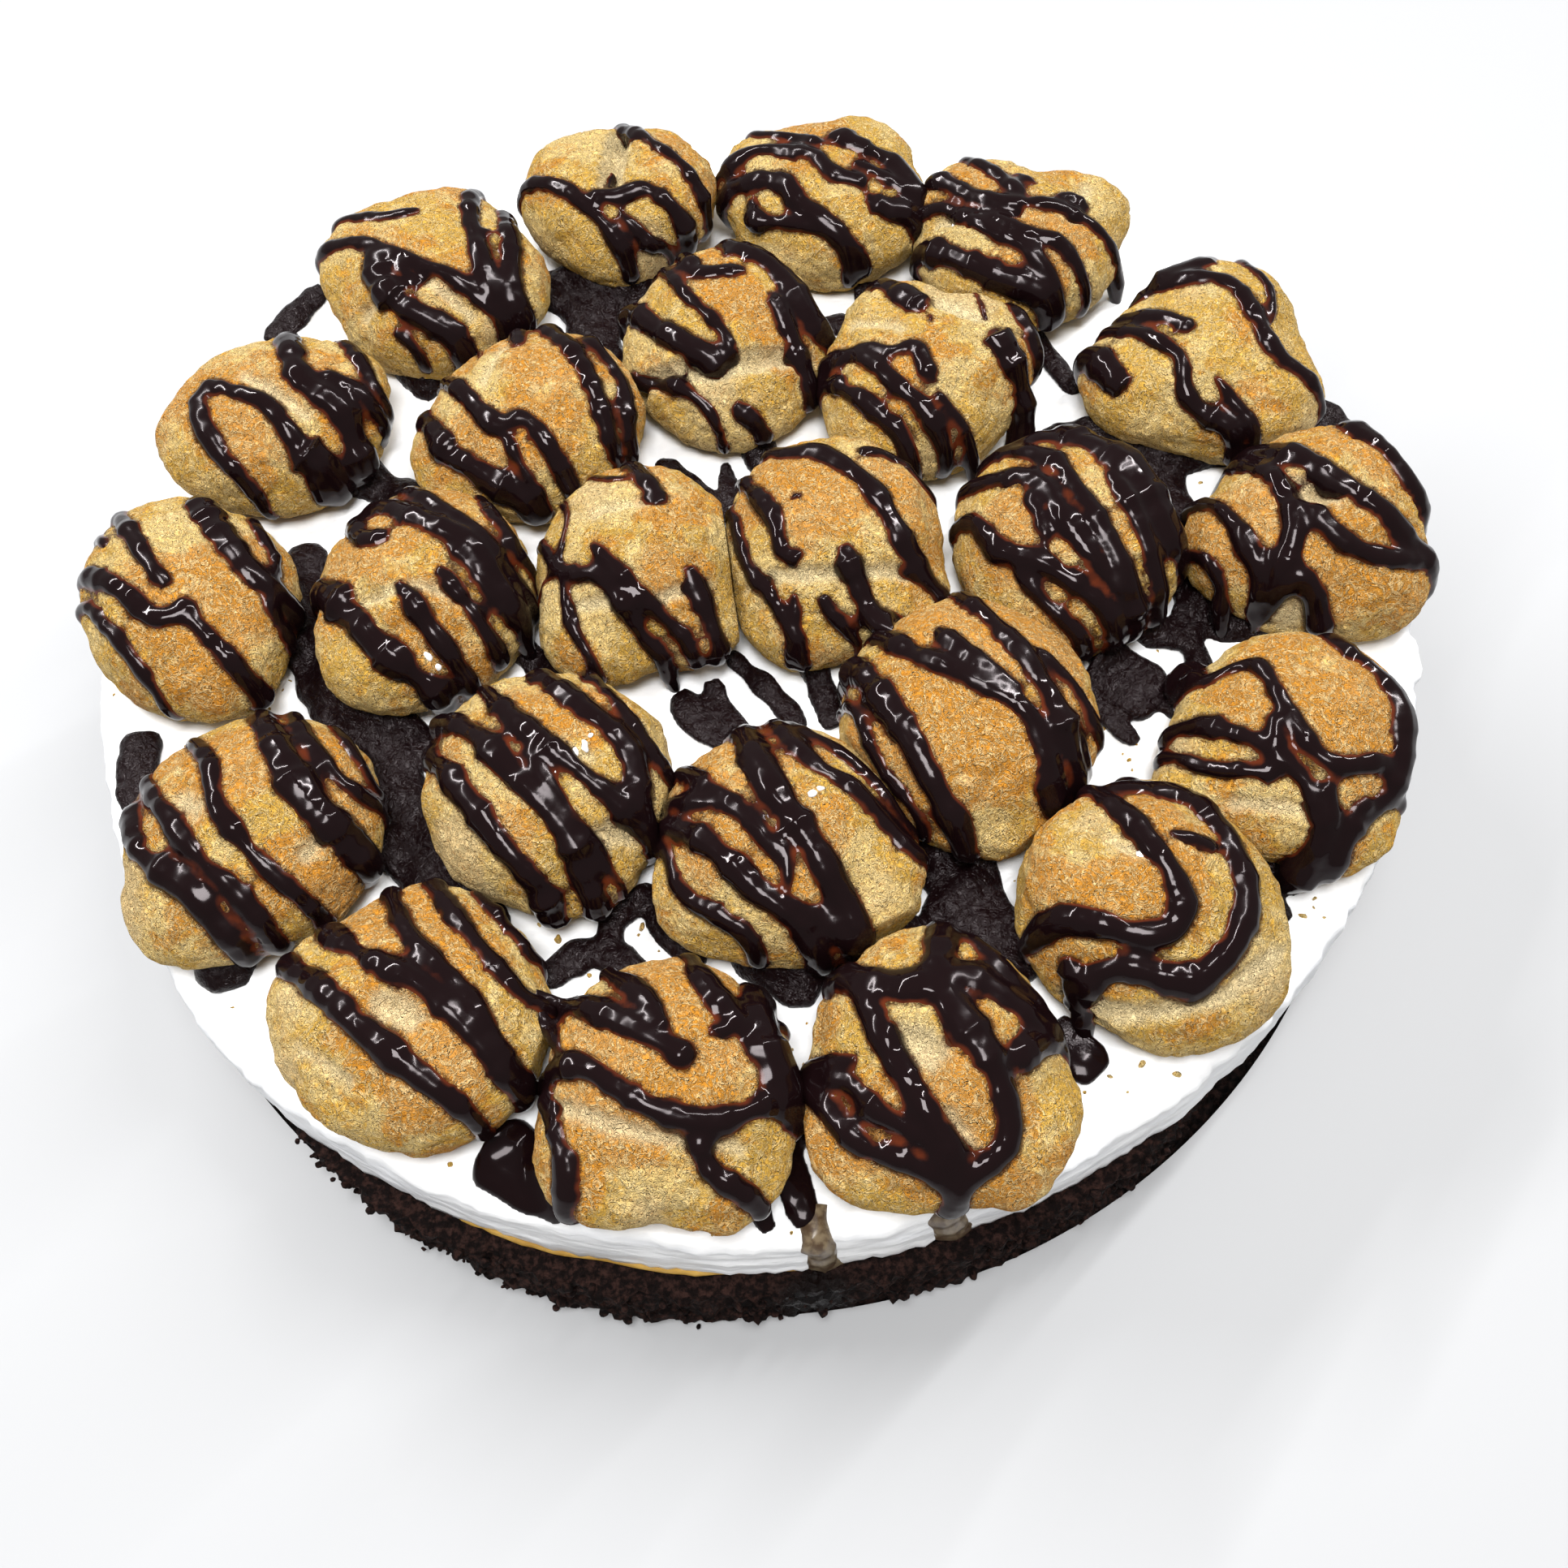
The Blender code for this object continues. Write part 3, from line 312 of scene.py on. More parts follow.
# %% Finer threads that run between the wide passes
THREADS = by_bun("""
1 2.5 -66,72 -61,66 -60,63
1 3 -49,80 -45,78
1 3 -66,58 -62,55
2 2.5 -21,96 -22,91 -22,88
3 3 14,103 19,101 24,96
4 3 63,88 67,82
4 3 70,78 74,80 78,77
5 3 2,74 3,66
6 2 42,48 41.5,45
6 5 60,52 63,45
6 1.6 52,55 53,47
7 2.5 107,58 109,50 108,42
8 4 -76,56 -72,50 -69,44
9 2 -48,54 -47,46
10 3 12,5 15,4.5
10 2.5 12,-12 12,-14
11 6 55,18 64,20
12 3.5 88,-6 91,-11 93,-16
13 2.5 -25,16 -21,12.5 -17,11
13 2 -31,13 -29,6 -30,0
14 4 -46,14 -43,8 -40,3
14 4 -50,-1 -46,-5 -43,-9 -38,-13
15 3 -117,8 -113,3
16 3 50,-31 54,-37 59,-43 61,-48
16 5 52,-50 54,-55
17 4 92,-44 91,-50 92,-55
17 6 98,-56 99,-61 98,-66 94,-67
17 3 103,-61 112,-58
19 3 -73,-30 -67,-38 -63,-45
20 3 -9,-53 -2,-56 3,-61 8,-65 8,-71
20 4 6,-73 14,-75
23 3 -6,-95 -2,-94
23 8 2,-90 7,-104
23 2.5 -33,-84 -32,-90 -29,-95
24 4 38,-80 42,-86 47,-91 50,-97
24 4 17,-104 20,-108 26,-112
""")
print("passes:", sum(map(len, DRIZZLE.values())), "threads:", sum(map(len, THREADS.values())))

# %% Chocolate that landed on the cream between the buns
PUDDLES = rows("""
12 -37,81 -27,77 -16,80
14 -28,77 -27,68 -27,60
6 -87,84 -92,77 -96,71
5 -52,64 -43,67
7 -69,67 -66,60 -61,54
8 -75,33 -69,29 -61,26
8 -84,15 -82,5 -80,-6
14 -80,-6 -76,-15 -70,-24
12 -77,-18 -67,-26 -59,-33
7 -42,-9 -36,-15 -29,-22 -23,-29
8 -31,-20 -22,-31 -14,-42 -11,-47
5 -13,32 -5,24 0,16
4.5 0,30 1,22 4,12
7 6,41 7,33 10,28
5 0,-15 6,-22 12,-30
5.5 -4,-21 -2,-27 2,-33
5.5 -10,-23 -6,-30 0,-34
6 14,-14 16,-21 18,-30
9 -64,-33 -60,-42 -56,-52
12 -62,-50 -54,-58 -48,-66
7 -48,-60 -42,-70 -37,-81
7 -34,-77 -27,-73 -19,-76
6 -24,-74 -22,-66 -15,-63
5 -16,-63 -13,-71 -8,-76
10 -3,-70 4,-77 11,-81
12 11,-72 20,-76 29,-74
8 33,-53 36,-63 40,-72
6 41,-56 43,-64 44,-73
13 37,-66 42,-73 49,-78
5 64,-14 70,-20 77,-24
13 70,-22 77,-28
7 78,-14 86,-16 87,-24 80,-31
5 64,-26 68,-31 73,-37
6 89,-12 96,-15 102,-14
12 66,31 78,30 88,25
10 86,28 88,14 87,0
9 88,2 89,-8 86,-15
8 90,25 97,28 105,28
9 117,43 121,36 125,30
5 66,60 70,52 73,45
5 30,74 38,73 45,70
6 21,66 27,67
13 -41,-107 -36,-111 -31,-113
9 -30,-103 -29,-113
8 2,-92 6,-100 8,-107
6 4,-104 6,-112 8,-120
4.5 -2,-112 0,-117 2,-121
8 -111,-26 -111,-34 -108,-43
10 -91,-68 -89.5,-74
8 52,-92 57,-98
9 90,-62 97,-66
7 88,-65 93,-73
""")
print("strokes in the pools:", len(PUDDLES))

# %% [markdown]
# ## Helpers for making a piece
#
# A bmesh is Blender's workbench for meshes: it starts from a ready shape, its operators bend it, and it
# is written into an object once, when it is done. These helpers do that last step the same way for
# every piece: scale to metres, keep inside the solids' box, give a material, and ride on the tart.

# %% From a bmesh to a finished piece
def new_object(name, data):
    """An object that holds this data, linked to the scene."""
    made = bpy.data.objects.new(name, data)
    bpy.context.scene.collection.objects.link(made)
    return made


def keep_in_box(shape):
    """No point of a piece stands outside the box of the solids."""
    low, high = (corner / MM for corner in map(Vector, SOLID_BOX))
    for point in shape.verts:
        for axis in range(3):
            point.co[axis] = min(max(point.co[axis], low[axis]), high[axis])


def piece(name, shape, finish, slot, *nodes):
    """Writes the bmesh, in metres, into a piece that stands for these solids and moves with the tart."""
    keep_in_box(shape)
    bmesh.ops.scale(shape, vec=(MM, MM, MM), verts=shape.verts)
    mesh = bpy.data.meshes.new(name)
    shape.to_mesh(mesh)
    shape.free()
    mesh.shade_smooth()
    mesh.materials.append(finish.material)
    made = new_object(name, mesh)
    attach(made, "root")
    if nodes:
        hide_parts(*nodes)


def with_modifiers(shape, modifiers):
    """The bmesh as these modifiers leave it, each given as (type, settings)."""
    mesh = bpy.data.meshes.new("workbench")
    shape.to_mesh(mesh)
    shape.free()
    bench = new_object("workbench", mesh)
    for kind, settings in modifiers:
        modifier = bench.modifiers.new(kind.lower(), kind)
        for setting, value in settings.items():
            setattr(modifier, setting, value)
    bpy.context.view_layer.update()
    result = bpy.data.meshes.new_from_object(bench.evaluated_get(bpy.context.evaluated_depsgraph_get()))
    bpy.data.objects.remove(bench)
    changed = bmesh.new()
    changed.from_mesh(result)
    return changed


# %% [markdown]
# ## Helpers for materials
#
# A material is a small graph of nodes. Drawing it node by node hides the idea behind the wiring, so the
# graph is written as sums here: `Signal` wraps a node's output, and adding or multiplying two signals
# adds the Math node that does it. `Finish` is one material, and `add` makes any other node.

# %% A signal is a node's output that understands + - and *
class Signal:
    def __init__(self, finish, socket):
        self.finish = finish
        self.socket = socket

    def maths(self, operation, first, second):
        return self.finish.add("ShaderNodeMath", {"operation": operation}, {0: first, 1: second})

    def __add__(self, other):
        return self.maths("ADD", self, other)

    def __sub__(self, other):
        return self.maths("SUBTRACT", self, other)

    def __rsub__(self, other):
        return self.maths("SUBTRACT", other, self)

    def __mul__(self, other):
        return self.maths("MULTIPLY", self, other)

    __radd__ = __add__
    __rmul__ = __mul__


# %% A finish is one material: its shader, its position in space and a few kinds of pattern
class Finish:
    def __init__(self, name, colour, roughness, **sockets):
        self.material = bpy.data.materials.new(name)
        self.material.use_nodes = True
        self.tree = self.material.node_tree
        self.shader = self.tree.nodes["Principled BSDF"]
        self.shader.inputs["Base Color"].default_value = (*colour, 1.0)
        self.shader.inputs["Roughness"].default_value = roughness
        for socket, value in sockets.items():
            self.shader.inputs[socket.replace("_", " ")].default_value = value
        self.place = self.add("ShaderNodeTexCoord", {}, {}, "Object")

    def add(self, kind, settings, inputs, output=0):
        """Any node: its type, its settings, then the values or links of its sockets."""
        node = self.tree.nodes.new(kind)
        for setting, value in settings.items():
            setattr(node, setting, value)
        for socket, value in inputs.items():
            if isinstance(value, Signal):
                self.tree.links.new(value.socket, node.inputs[socket])
            else:
                node.inputs[socket].default_value = value
        return Signal(self, node.outputs[output])

    def paint(self, socket, signal):
        self.tree.links.new(signal.socket, self.shader.inputs[socket])

    def grain(self, size_mm, detail=3.0, roughness=0.5, stretch=None, distortion=0.0):
        """Cloudy noise whose patches are about this many millimetres across."""
        place = self.place
        if stretch is not None:
            place = self.add("ShaderNodeMapping", {}, {"Vector": place, "Scale": stretch})
        inputs = {"Vector": place, "Scale": 1 / (size_mm * MM), "Detail": detail,
                  "Roughness": roughness, "Distortion": distortion}
        return self.add("ShaderNodeTexNoise", {}, inputs)

    def cells(self, size_mm):
        """Distance to the nearest of points scattered about this many millimetres apart."""
        inputs = {"Vector": self.place, "Scale": 1 / (size_mm * MM)}
        return self.add("ShaderNodeTexVoronoi", {}, inputs)

    def between(self, signal, low, high):
        """0 below low, 1 above high, and a smooth rise between."""
        inputs = {"Value": signal, "From Min": low, "From Max": high}
        return self.add("ShaderNodeMapRange", {"interpolation_type": "SMOOTHSTEP"}, inputs)

    def strands(self, signal, width):
        """1 along thin curling lines, where the signal crosses a half, and 0 elsewhere."""
        offset = signal - 0.5
        away = offset.maths("ABSOLUTE", offset, 0.0)
        return 1 - self.between(away, 0.0, width)

    def mix(self, first, second, share):
        """Share of the second colour over the first."""
        colours = {7: second, 6: first, 0: share}
        for socket in (6, 7):
            if not isinstance(colours[socket], Signal):
                colours[socket] = (*colours[socket], 1.0)
        return self.add("ShaderNodeMix", {"data_type": "RGBA"}, colours, 2)

    def measured(self, name):
        """A number that the mesh carries at each point."""
        return self.add("ShaderNodeAttribute", {"attribute_name": name}, {}, "Fac")

    def relief(self, height, depth_mm, under=None):
        """Bumps of this depth where the signal goes from 0 to 1, over the relief given in under."""
        inputs = {"Height": height, "Distance": depth_mm * MM, "Strength": 1.0}
        if under is not None:
            inputs["Normal"] = under
        return self.add("ShaderNodeBump", {}, inputs)


# %% [markdown]
# ## The shape of a bun
#
# A ball with a bump for each lobe would meet its neighbours in hard valleys. Here the distance to the
# skin in each direction is a soft maximum of the core and the lobes, which leaves the shallow creases of
# real choux. Where two buns touch, both stop at an upright plane between them, as baked buns do.

# %% How far a bun reaches, and where its neighbours stop it
def reach(bun, way):
    return 1 / math.hypot(way.x / bun.half_width, way.y / bun.half_length)


def walls_between(number):
    """Upright planes where this bun meets its neighbours, as (normal, distance from its middle)."""
    bun = BUNS[number]
    walls = []
    for other in BUNS.values():
        if other is bun:
            continue
        across = Vector((other.x - bun.x, other.y - bun.y))
        normal = across.normalized()
        mine, theirs = reach(bun, normal), reach(other, -normal)
        if 1.12 * (mine + theirs) + 3.0 > across.length:
            walls.append((normal, across.length * mine / (mine + theirs) - 0.1))
    return walls


def bun_radius(bun, way):
    """Distance to the skin this way: a soft maximum of the core and the lobes."""
    swell = bun.core**16
    for right, back, up, size in bun.lobes:
        middle = Vector((right, back, up))
        along = way.dot(middle)
        inside = along * along - middle.length_squared + size * size
        if inside > 0:
            swell += (along + math.sqrt(inside)) ** 16
    return swell ** (1 / 16) + 0.03 * noise.noise(way * 2.2 + Vector((bun.x, bun.y, 0.0)))


# %% [markdown]
# ## Splits and torn places
#
# As a bun cools its crust splits, and where it was squeezed or pulled off the tray it tears. A split is
# a route in plan, like a pass of chocolate, along which the crust is pressed in. Sculpting would do as
# well, but a route keeps the split where the photograph has it. Toasted and pale places are listed too,
# each as a round patch: the bun's number, how far right and back of the bun's middle, how wide, and
# how much, which is above 0 where it is toasted and below 0 where it is pale.

# %% Splits: the bun's number, width, depth, then the points
SPLITS = by_bun("""
1 4 1.2 -72,62 -60,66 -50,60
2 7 4.6 -18,107 -20,99 -21,91
4 4 1.6 47,78 54,76 62,74
4 4 1.2 78,84 74,74
5 5.5 2.6 -16,43 -4,41 6,42 17,45
6 7 1.2 45,52 51,48
6 4 1 27,50 36,45
8 4 1.2 -92,42 -86,38 -80,33
9 3.5 0.9 -42,47 -46,38
10 4 1.4 4,-8 18,-10 34,-9
12 9 3.2 104,1 109,0
12 3.5 1.2 96,-16 104,-18
13 3.5 1.2 -28,-12 -14,-13 -4,-9
13 4 0.8 -24,4 -14,5
14 3.5 1 -66,-12 -56,-10 -44,-13
17 3.5 1 84,-58 96,-61
18 6 1.6 -25,-60 -18,-57
18 4 0.8 -30,-44 -24,-46
19 6 1 -93,-50 -90,-52
19 4 1.2 -67,-53 -72,-60
21 4 1.6 52,-88 62,-93 76,-92 88,-84
21 5 1 61,-67 66,-70
22 7 2.4 -56,-88 -52,-90
22 3.5 0.8 -72,-92 -62,-99
23 4 1.2 -30,-104 -16,-110 -2,-112
24 8 2.6 25,-98 29,-100
24 4 1 31,-110 34,-114
""")

# %% Toasted and pale places
PATCHES = by_bun("""
5 0 5 7 0.5
5 1 -12 8 -0.7
6 5 15 6 -1
7 -2 2 14 -0.5
7 7 -4 6 0.6
8 -6 -3 8 0.4
9 4 6 7 0.8
9 -12 8 6 -0.6
10 -4 5 9 0.5
12 5 -8 9 0.5
13 -6 9 8 -1
13 0 18 6 0.9
13 4 -12 8 0.3
14 -7 5 8 0.5
15 9 -3 9 0.6
15 1 10 7 -0.9
15 -15 -5 6 -0.6
16 0 0 12 0.4
17 11 8 9 0.6
17 -18 0 7 -0.7
18 -16 -14 9 -0.6
18 10 10 7 0.5
19 1 7 8 0.7
19 -18 -11 8 -0.9
19 14 -10 7 0.3
20 -14 0 8 0.5
20 14 -12 7 -0.5
21 -3 0 9 0.7
21 -10 9 7 -1
21 14 -12 7 -0.5
22 -18 -3 9 -1.1
22 7 -17 9 0.7
22 -9 17 8 0.4
23 -9 -12 9 0.6
23 4 16 7 0.7
23 -6 -21 7 -0.8
24 8 -8 8 0.5
24 -4 4 6 -0.8
""")
print("splits:", sum(map(len, SPLITS.values())), "patches:", sum(map(len, PATCHES.values())))


# %% A smooth curve through a few points
def smooth_path(points, step):
    """Points about a step apart on a smooth curve through the given plan points."""
    ends = [2 * Vector(points[0]) - Vector(points[1]), 2 * Vector(points[-1]) - Vector(points[-2])]
    knots = [ends[0], *[Vector(point) for point in points], ends[1]]
    path = []
    for before, start, end, after in zip(knots, knots[1:], knots[2:], knots[3:]):
        pieces = max(1, round((end - start).length / step))
        for count in range(pieces):
            t = count / pieces
            path.append(0.5 * (2 * start + (end - before) * t
                               + (2 * before - 5 * start + 4 * end - after) * t**2
                               + (3 * start - before - 3 * end + after) * t**3))
    path.append(Vector(points[-1]))
    return path


# %% [markdown]
# ## The crust
#
# Close up, choux is a dry, blistered skin. The large shape, its blisters and its splits are moved points,
# because they throw shadows, and the fibres below half a millimetre are left to the material.

# %% How deep a crust is split and how it blisters
def split_depths(number):
    """For a plan spot, how deep the bun's splits press the crust in there."""
    trees = []
    for width, depth, *points in SPLITS[number]:
        path = smooth_path(points, 0.8)
        tree = KDTree(len(path))
        for index, spot in enumerate(path):
            tree.insert((spot.x, spot.y, 0.0), index)
        tree.balance()
        trees.append((width, depth, tree))

    def depth_at(spot):
        pressed = 0.0
        for width, depth, tree in trees:
            ragged = 0.35 * noise.noise(spot / 1.7)
            away = tree.find((spot.x, spot.y, 0.0))[2] / (width / 2) + ragged
            if away < 1.0:
                pressed = max(pressed, depth * (1 - away**2) ** 2)
        return pressed

    return depth_at


def blisters(spot):
    """Small lumps and hollows of the crust, in millimetres."""
    lumps = 0.55 * noise.noise(spot / 6.5)
    pits = 0.34 * noise.noise(spot / 2.4)
    bubbles = 0.45 * max(0.0, 0.6 - noise.voronoi(spot / 3.2)[0][0])
    cracks = 0.40 * max(0.0, 1 - abs(noise.noise(spot / 7 + Vector((5, 1, 3)))) / 0.07)
    return lumps + pits + bubbles - cracks - 0.12


# %% Make the twenty-four crusts
CRUST_FINENESS = 6
SPLIT_FROM = FOOT + 6
WALLS = {number: walls_between(number) for number in BUNS}


def shape_crust(number):
    """The bun's crust as one closed ball, with what its material needs to know at each point."""
    bun = BUNS[number]
    crust = bmesh.new()
    bmesh.ops.create_icosphere(crust, subdivisions=CRUST_FINENESS, radius=1.0)
    for point in crust.verts:
        way = point.co.normalized()
        point.co = way * bun_radius(bun, way)
    left, right = (pick(point.co.x for point in crust.verts) for pick in (min, max))
    front, back = (pick(point.co.y for point in crust.verts) for pick in (min, max))
    top = max(point.co.z for point in crust.verts)
    foot = FOOT - CREAM_TOP - WIDEST_ABOVE_CREAM
    for point in crust.verts:
        place = Vector((bun.half_width * (2 * (point.co.x - left) / (right - left) - 1),
                        bun.half_length * (2 * (point.co.y - front) / (back - front) - 1),
                        bun.crown * point.co.z / top))
        if place.z < foot:
            place *= foot / place.z
        point.co = Vector((bun.x, bun.y, CREAM_TOP + WIDEST_ABOVE_CREAM)) + place
    crust.normal_update()
    depth_at = split_depths(number)
    torn = crust.verts.layers.float.new("torn")
    baked = crust.verts.layers.float.new("baked")
    for point in crust.verts:
        rise = (point.co.z - CREAM_TOP) / (WIDEST_ABOVE_CREAM + bun.crown)
        uneven_heat = 0.9 * noise.noise(point.co / 15 + Vector((number, 0, 0)))
        point[baked] = bun.baked + uneven_heat + 0.7 * (rise - 0.6)
        for aside, behind, size, amount in PATCHES[number]:
            offset = Vector((point.co.x - bun.x - aside, point.co.y - bun.y - behind))
            away = offset.length / size + 0.35 * noise.noise(point.co / 3)
            point[baked] += amount * math.exp(-away**4)
        if point.co.z > FOOT + 0.01:
            pressed = depth_at(point.co) if point.co.z > SPLIT_FROM else 0.0
            point[torn] = min(1.0, pressed)
            point.co += point.normal * (blisters(point.co) - pressed)
    for point in crust.verts:
        for normal, distance in WALLS[number]:
            beyond = (point.co.x - bun.x) * normal.x + (point.co.y - bun.y) * normal.y - distance
            if beyond > 0:
                point.co.x -= normal.x * beyond
                point.co.y -= normal.y * beyond
        point.co.z = max(point.co.z, FOOT - 0.6)
    return crust


CRUSTS = {number: shape_crust(number) for number in BUNS}
SKINS = {number: BVHTree.FromBMesh(crust) for number, crust in CRUSTS.items()}
print("crust triangles:", sum(len(crust.faces) for crust in CRUSTS.values()))

# %% [markdown]
# ## Poured chocolate
#
# Warm chocolate falls as a rope, beads up on the crust, hangs across gaps and runs together where two
# passes meet. Simulating the pour would be slow and hard to steer. Instead each route becomes a round
# tube that lies on the crust below it. The tubes of a bun are joined by a voxel remesh, made a little
# too thick and then drawn back in, which fills the corners between them as surface tension does.

# %% Lay a route on the buns and the cream
ROPE_STEP = 1.1
ROPE_RISE = 0.26
ROPE_END = (0.5, 0.8, 0.98, 1.05, 1.0)
SAG = 0.12
LONGEST_RUN = 18
DOWN = Vector((0, 0, -1))


def ground(spot):
    """The point and normal of the highest crust, or the cream, under a plan spot."""
    best = (Vector((spot.x, spot.y, CREAM_TOP)), Vector((0, 0, 1)))
    for number, bun in BUNS.items():
        if abs(spot.x - bun.x) < bun.half_width + 1 and abs(spot.y - bun.y) < bun.half_length + 1:
            place, normal, _, _ = SKINS[number].ray_cast(Vector((spot.x, spot.y, 90.0)), DOWN)
            if place is not None and place.z > best[0].z:
                best = (place, normal)
    return best


def run_down(number, places, width):
    """What a rope adds at its end where it runs on over the bun's skin, turning downhill as it goes."""
    bun = BUNS[number]
    place, normal = places[-1]
    out = Vector((place.x - bun.x, place.y - bun.y))
    way = place - places[-2][0]
    if out.length < 0.6 * reach(bun, out.normalized()) or out.dot(way.to_2d()) < 0:
        return []
    lowest = CREAM_TOP + 1.5 + max(0.0, 7 - width) + 2.5 * noise.noise(place / 3)
    run = []
    while place.z > lowest and len(run) < LONGEST_RUN:
        way = way.normalized() + 0.35 * DOWN
        way = (way - normal * way.dot(normal)).normalized()
        place, normal, _, _ = SKINS[number].find_nearest(place + ROPE_STEP * way)
        run.append((place, normal))
    return run


def lie(width, points, number):
    """Middle points and radii of a rope of this width on the ground below its route."""
    places = [ground(spot) for spot in smooth_path(points, ROPE_STEP)]
    for _ in range(2):
        places = [*places, *run_down(number, places, width)][::-1]
    heights = [place.z for place, _ in places]
    for _ in range(10):
        for index in range(1, len(heights) - 1):
            hung = (heights[index - 1] + heights[index + 1]) / 2 - SAG
            heights[index] = max(heights[index], hung)
    route = []
    radii = []
    for index, ((place, normal), height) in enumerate(zip(places, heights)):
        from_end = min(index, len(places) - 1 - index)
        spot = Vector((place.x, place.y, 3 * width))
        swell = 1 + 0.42 * noise.noise(spot / 6.5) + 0.30 * noise.noise(spot / 2.4)
        wide = width * swell * ROPE_END[min(from_end, 4)]
        high = ROPE_RISE * wide + 0.12
        radius = (wide**2 / 4 + high**2) / (2 * high)
        lifted = Vector((place.x, place.y, height))
        sunk = radius - high if height - place.z < 0.3 else 0.3 * (radius - high)
        route.append(lifted - normal * sunk)
        radii.append(radius)
    return route, radii


# %% Turn the ropes of one place into one poured shape
FILLET = 0.45
VOXEL = 0.55


def add_rope(shape, route, radii):
    """A round tube along the route, added to the bmesh."""
    curve = bpy.data.curves.new("rope", "CURVE")
    curve.dimensions = "3D"
    curve.bevel_depth = 1.0
    curve.bevel_resolution = 3
    curve.use_fill_caps = True
    spline = curve.splines.new("POLY")
    spline.points.add(len(route) - 1)
    for point, place, radius in zip(spline.points, route, radii):
        point.co = (*place, 1.0)
        point.radius = radius + FILLET
    guide = bpy.data.objects.new("rope", curve)
    shape.from_mesh(bpy.data.meshes.new_from_object(guide))
    bpy.data.objects.remove(guide)


def poured(ropes):
    """One smooth closed shape from many ropes, each given as (route, radii)."""
    shape = bmesh.new()
    for route, radii in ropes:
        add_rope(shape, route, radii)
    return with_modifiers(shape, [
        ("REMESH", {"mode": "VOXEL", "voxel_size": VOXEL}),
        ("SMOOTH", {"factor": 0.5, "iterations": 2}),
        ("DISPLACE", {"strength": -FILLET, "mid_level": 0.0}),
        ("SMOOTH", {"factor": 0.5, "iterations": 8}),
    ])


POURS = {}
for number in BUNS:
    ropes = [lie(width, points, number) for width, *points in DRIZZLE[number] + THREADS[number]]
    POURS[number] = poured(ropes)
print("poured triangles:", sum(2 * len(pour.faces) for pour in POURS.values()))

# %% [markdown]
# ## Pools on the cream
#
# What missed the buns settled between them. Its strokes are laid flat on the cream and joined in the same
# way, but they are lower, and beside a bun the pool is drawn a little up the crust. In front it is still
# fresh and smooth. Further back it has dried and wrinkled.

# %% Chocolate that settled on the cream
CREEP = 5.0
FRESH_BEFORE = -88
POOL_END = (0.6, 0.8, 0.93, 1.0)


def settled(strokes):
    """Chocolate that lies flat on the cream and creeps a little up the buns beside it."""
    ropes = bmesh.new()
    for width, *points in strokes:
        first, second, before_last, last = (Vector(points[index]) for index in (0, 1, -2, -1))
        longer = [first + 0.22 * width * (first - second).normalized(), *points,
                  last + 0.22 * width * (last - before_last).normalized()]
        path = smooth_path(longer, ROPE_STEP)
        radii = []
        for index, spot in enumerate(path):
            from_end = min(index, len(path) - 1 - index)
            swell = 1 + 0.35 * noise.noise(Vector((spot.x / 5, spot.y / 5, width)))
            radii.append(0.5 * width * swell * POOL_END[min(from_end, 3)] - FILLET)
        add_rope(ropes, [Vector((spot.x, spot.y, 0.0)) for spot in path], radii)
    for point in ropes.verts:
        point.co.z = CREAM_TOP + 0.6 + 3.4 * math.tanh(0.12 * point.co.z)
    lying = with_modifiers(ropes, [
        ("REMESH", {"mode": "VOXEL", "voxel_size": VOXEL}),
        ("SMOOTH", {"factor": 0.5, "iterations": 5}),
    ])
    fresh = lying.verts.layers.float.new("fresh")
    for point in lying.verts:
        point[fresh] = clamped((FRESH_BEFORE - point.co.y) / 8)
        if point.co.z > CREAM_TOP + 0.5:
            near = min(skin.find_nearest(point.co, CREEP)[3] or CREEP for skin in SKINS.values())
            wrinkle = 0.30 * noise.noise(point.co / 1.8) + 0.5 * noise.noise(point.co / 5)
            point.co.z += (3.2 + 2 * point[fresh]) * (1 - near / CREEP) ** 2 + wrinkle * (1 - point[fresh])
    return lying


POOL = settled(PUDDLES)
print("pool triangles:", 2 * len(POOL.faces))

# %% [markdown]
# ## Thin edges, stains and painted shadow
#
# Chocolate is nearly black where it is thick. At its thin edges light gets through and it turns
# reddish brown. Beside it the crust has a dark rim, partly a stain where the chocolate soaked in and
# partly painted shadow of the chocolate. Both depend on distances that the mesh knows: each point of
# chocolate keeps its height above the crust, and each point of crust its distance from the chocolate.
# The materials read these numbers as attributes.

# %% Measure chocolate against crust
THICK = 1.5
# How far from the chocolate the crust's dark rim reaches: a stain and painted shadow
STAIN_AND_SHADOW_REACH = 2.0


def measure(shape, name, other, farthest):
    """Gives each point its distance from the other surface, up to the farthest."""
    layer = shape.verts.layers.float.new(name)
    for point in shape.verts:
        found = other.find_nearest(point.co, farthest)[3]
        point[layer] = farthest if found is None else min(farthest, found)


for number in BUNS:
    measure(POURS[number], "thickness", SKINS[number], THICK)
    # Near the chocolate the crust gets a dark rim, a stain and painted shadow
    measure(CRUSTS[number], "dry", BVHTree.FromBMesh(POURS[number]), STAIN_AND_SHADOW_REACH)

# %% [markdown]
# ## The cream
#
# Whipped cream is spread with a long knife: the wall is smooth with faint marks, the top edge is
# ragged, and the cream swells up round the foot of each bun that was pressed into it. A spun profile
# gives the drum, and noise and the buns' own outlines move its points.

# %% Spin a profile and name its points by radius, angle and height
def spun(profile, steps):
    """A closed solid of revolution from (radius, height) points that start and end on the axis."""
    shape = bmesh.new()
    points = [shape.verts.new((radius, 0.0, height)) for radius, height in profile]
    edges = [shape.edges.new(pair) for pair in zip(points, points[1:])]
    bmesh.ops.spin(shape, geom=points + edges, axis=(0, 0, 1), cent=(0, 0, 0), dvec=(0, 0, 0),
                   angle=math.tau, steps=steps, use_merge=True)
    bmesh.ops.remove_doubles(shape, verts=shape.verts, dist=0.001)
    bmesh.ops.recalc_face_normals(shape, faces=shape.faces)
    return shape


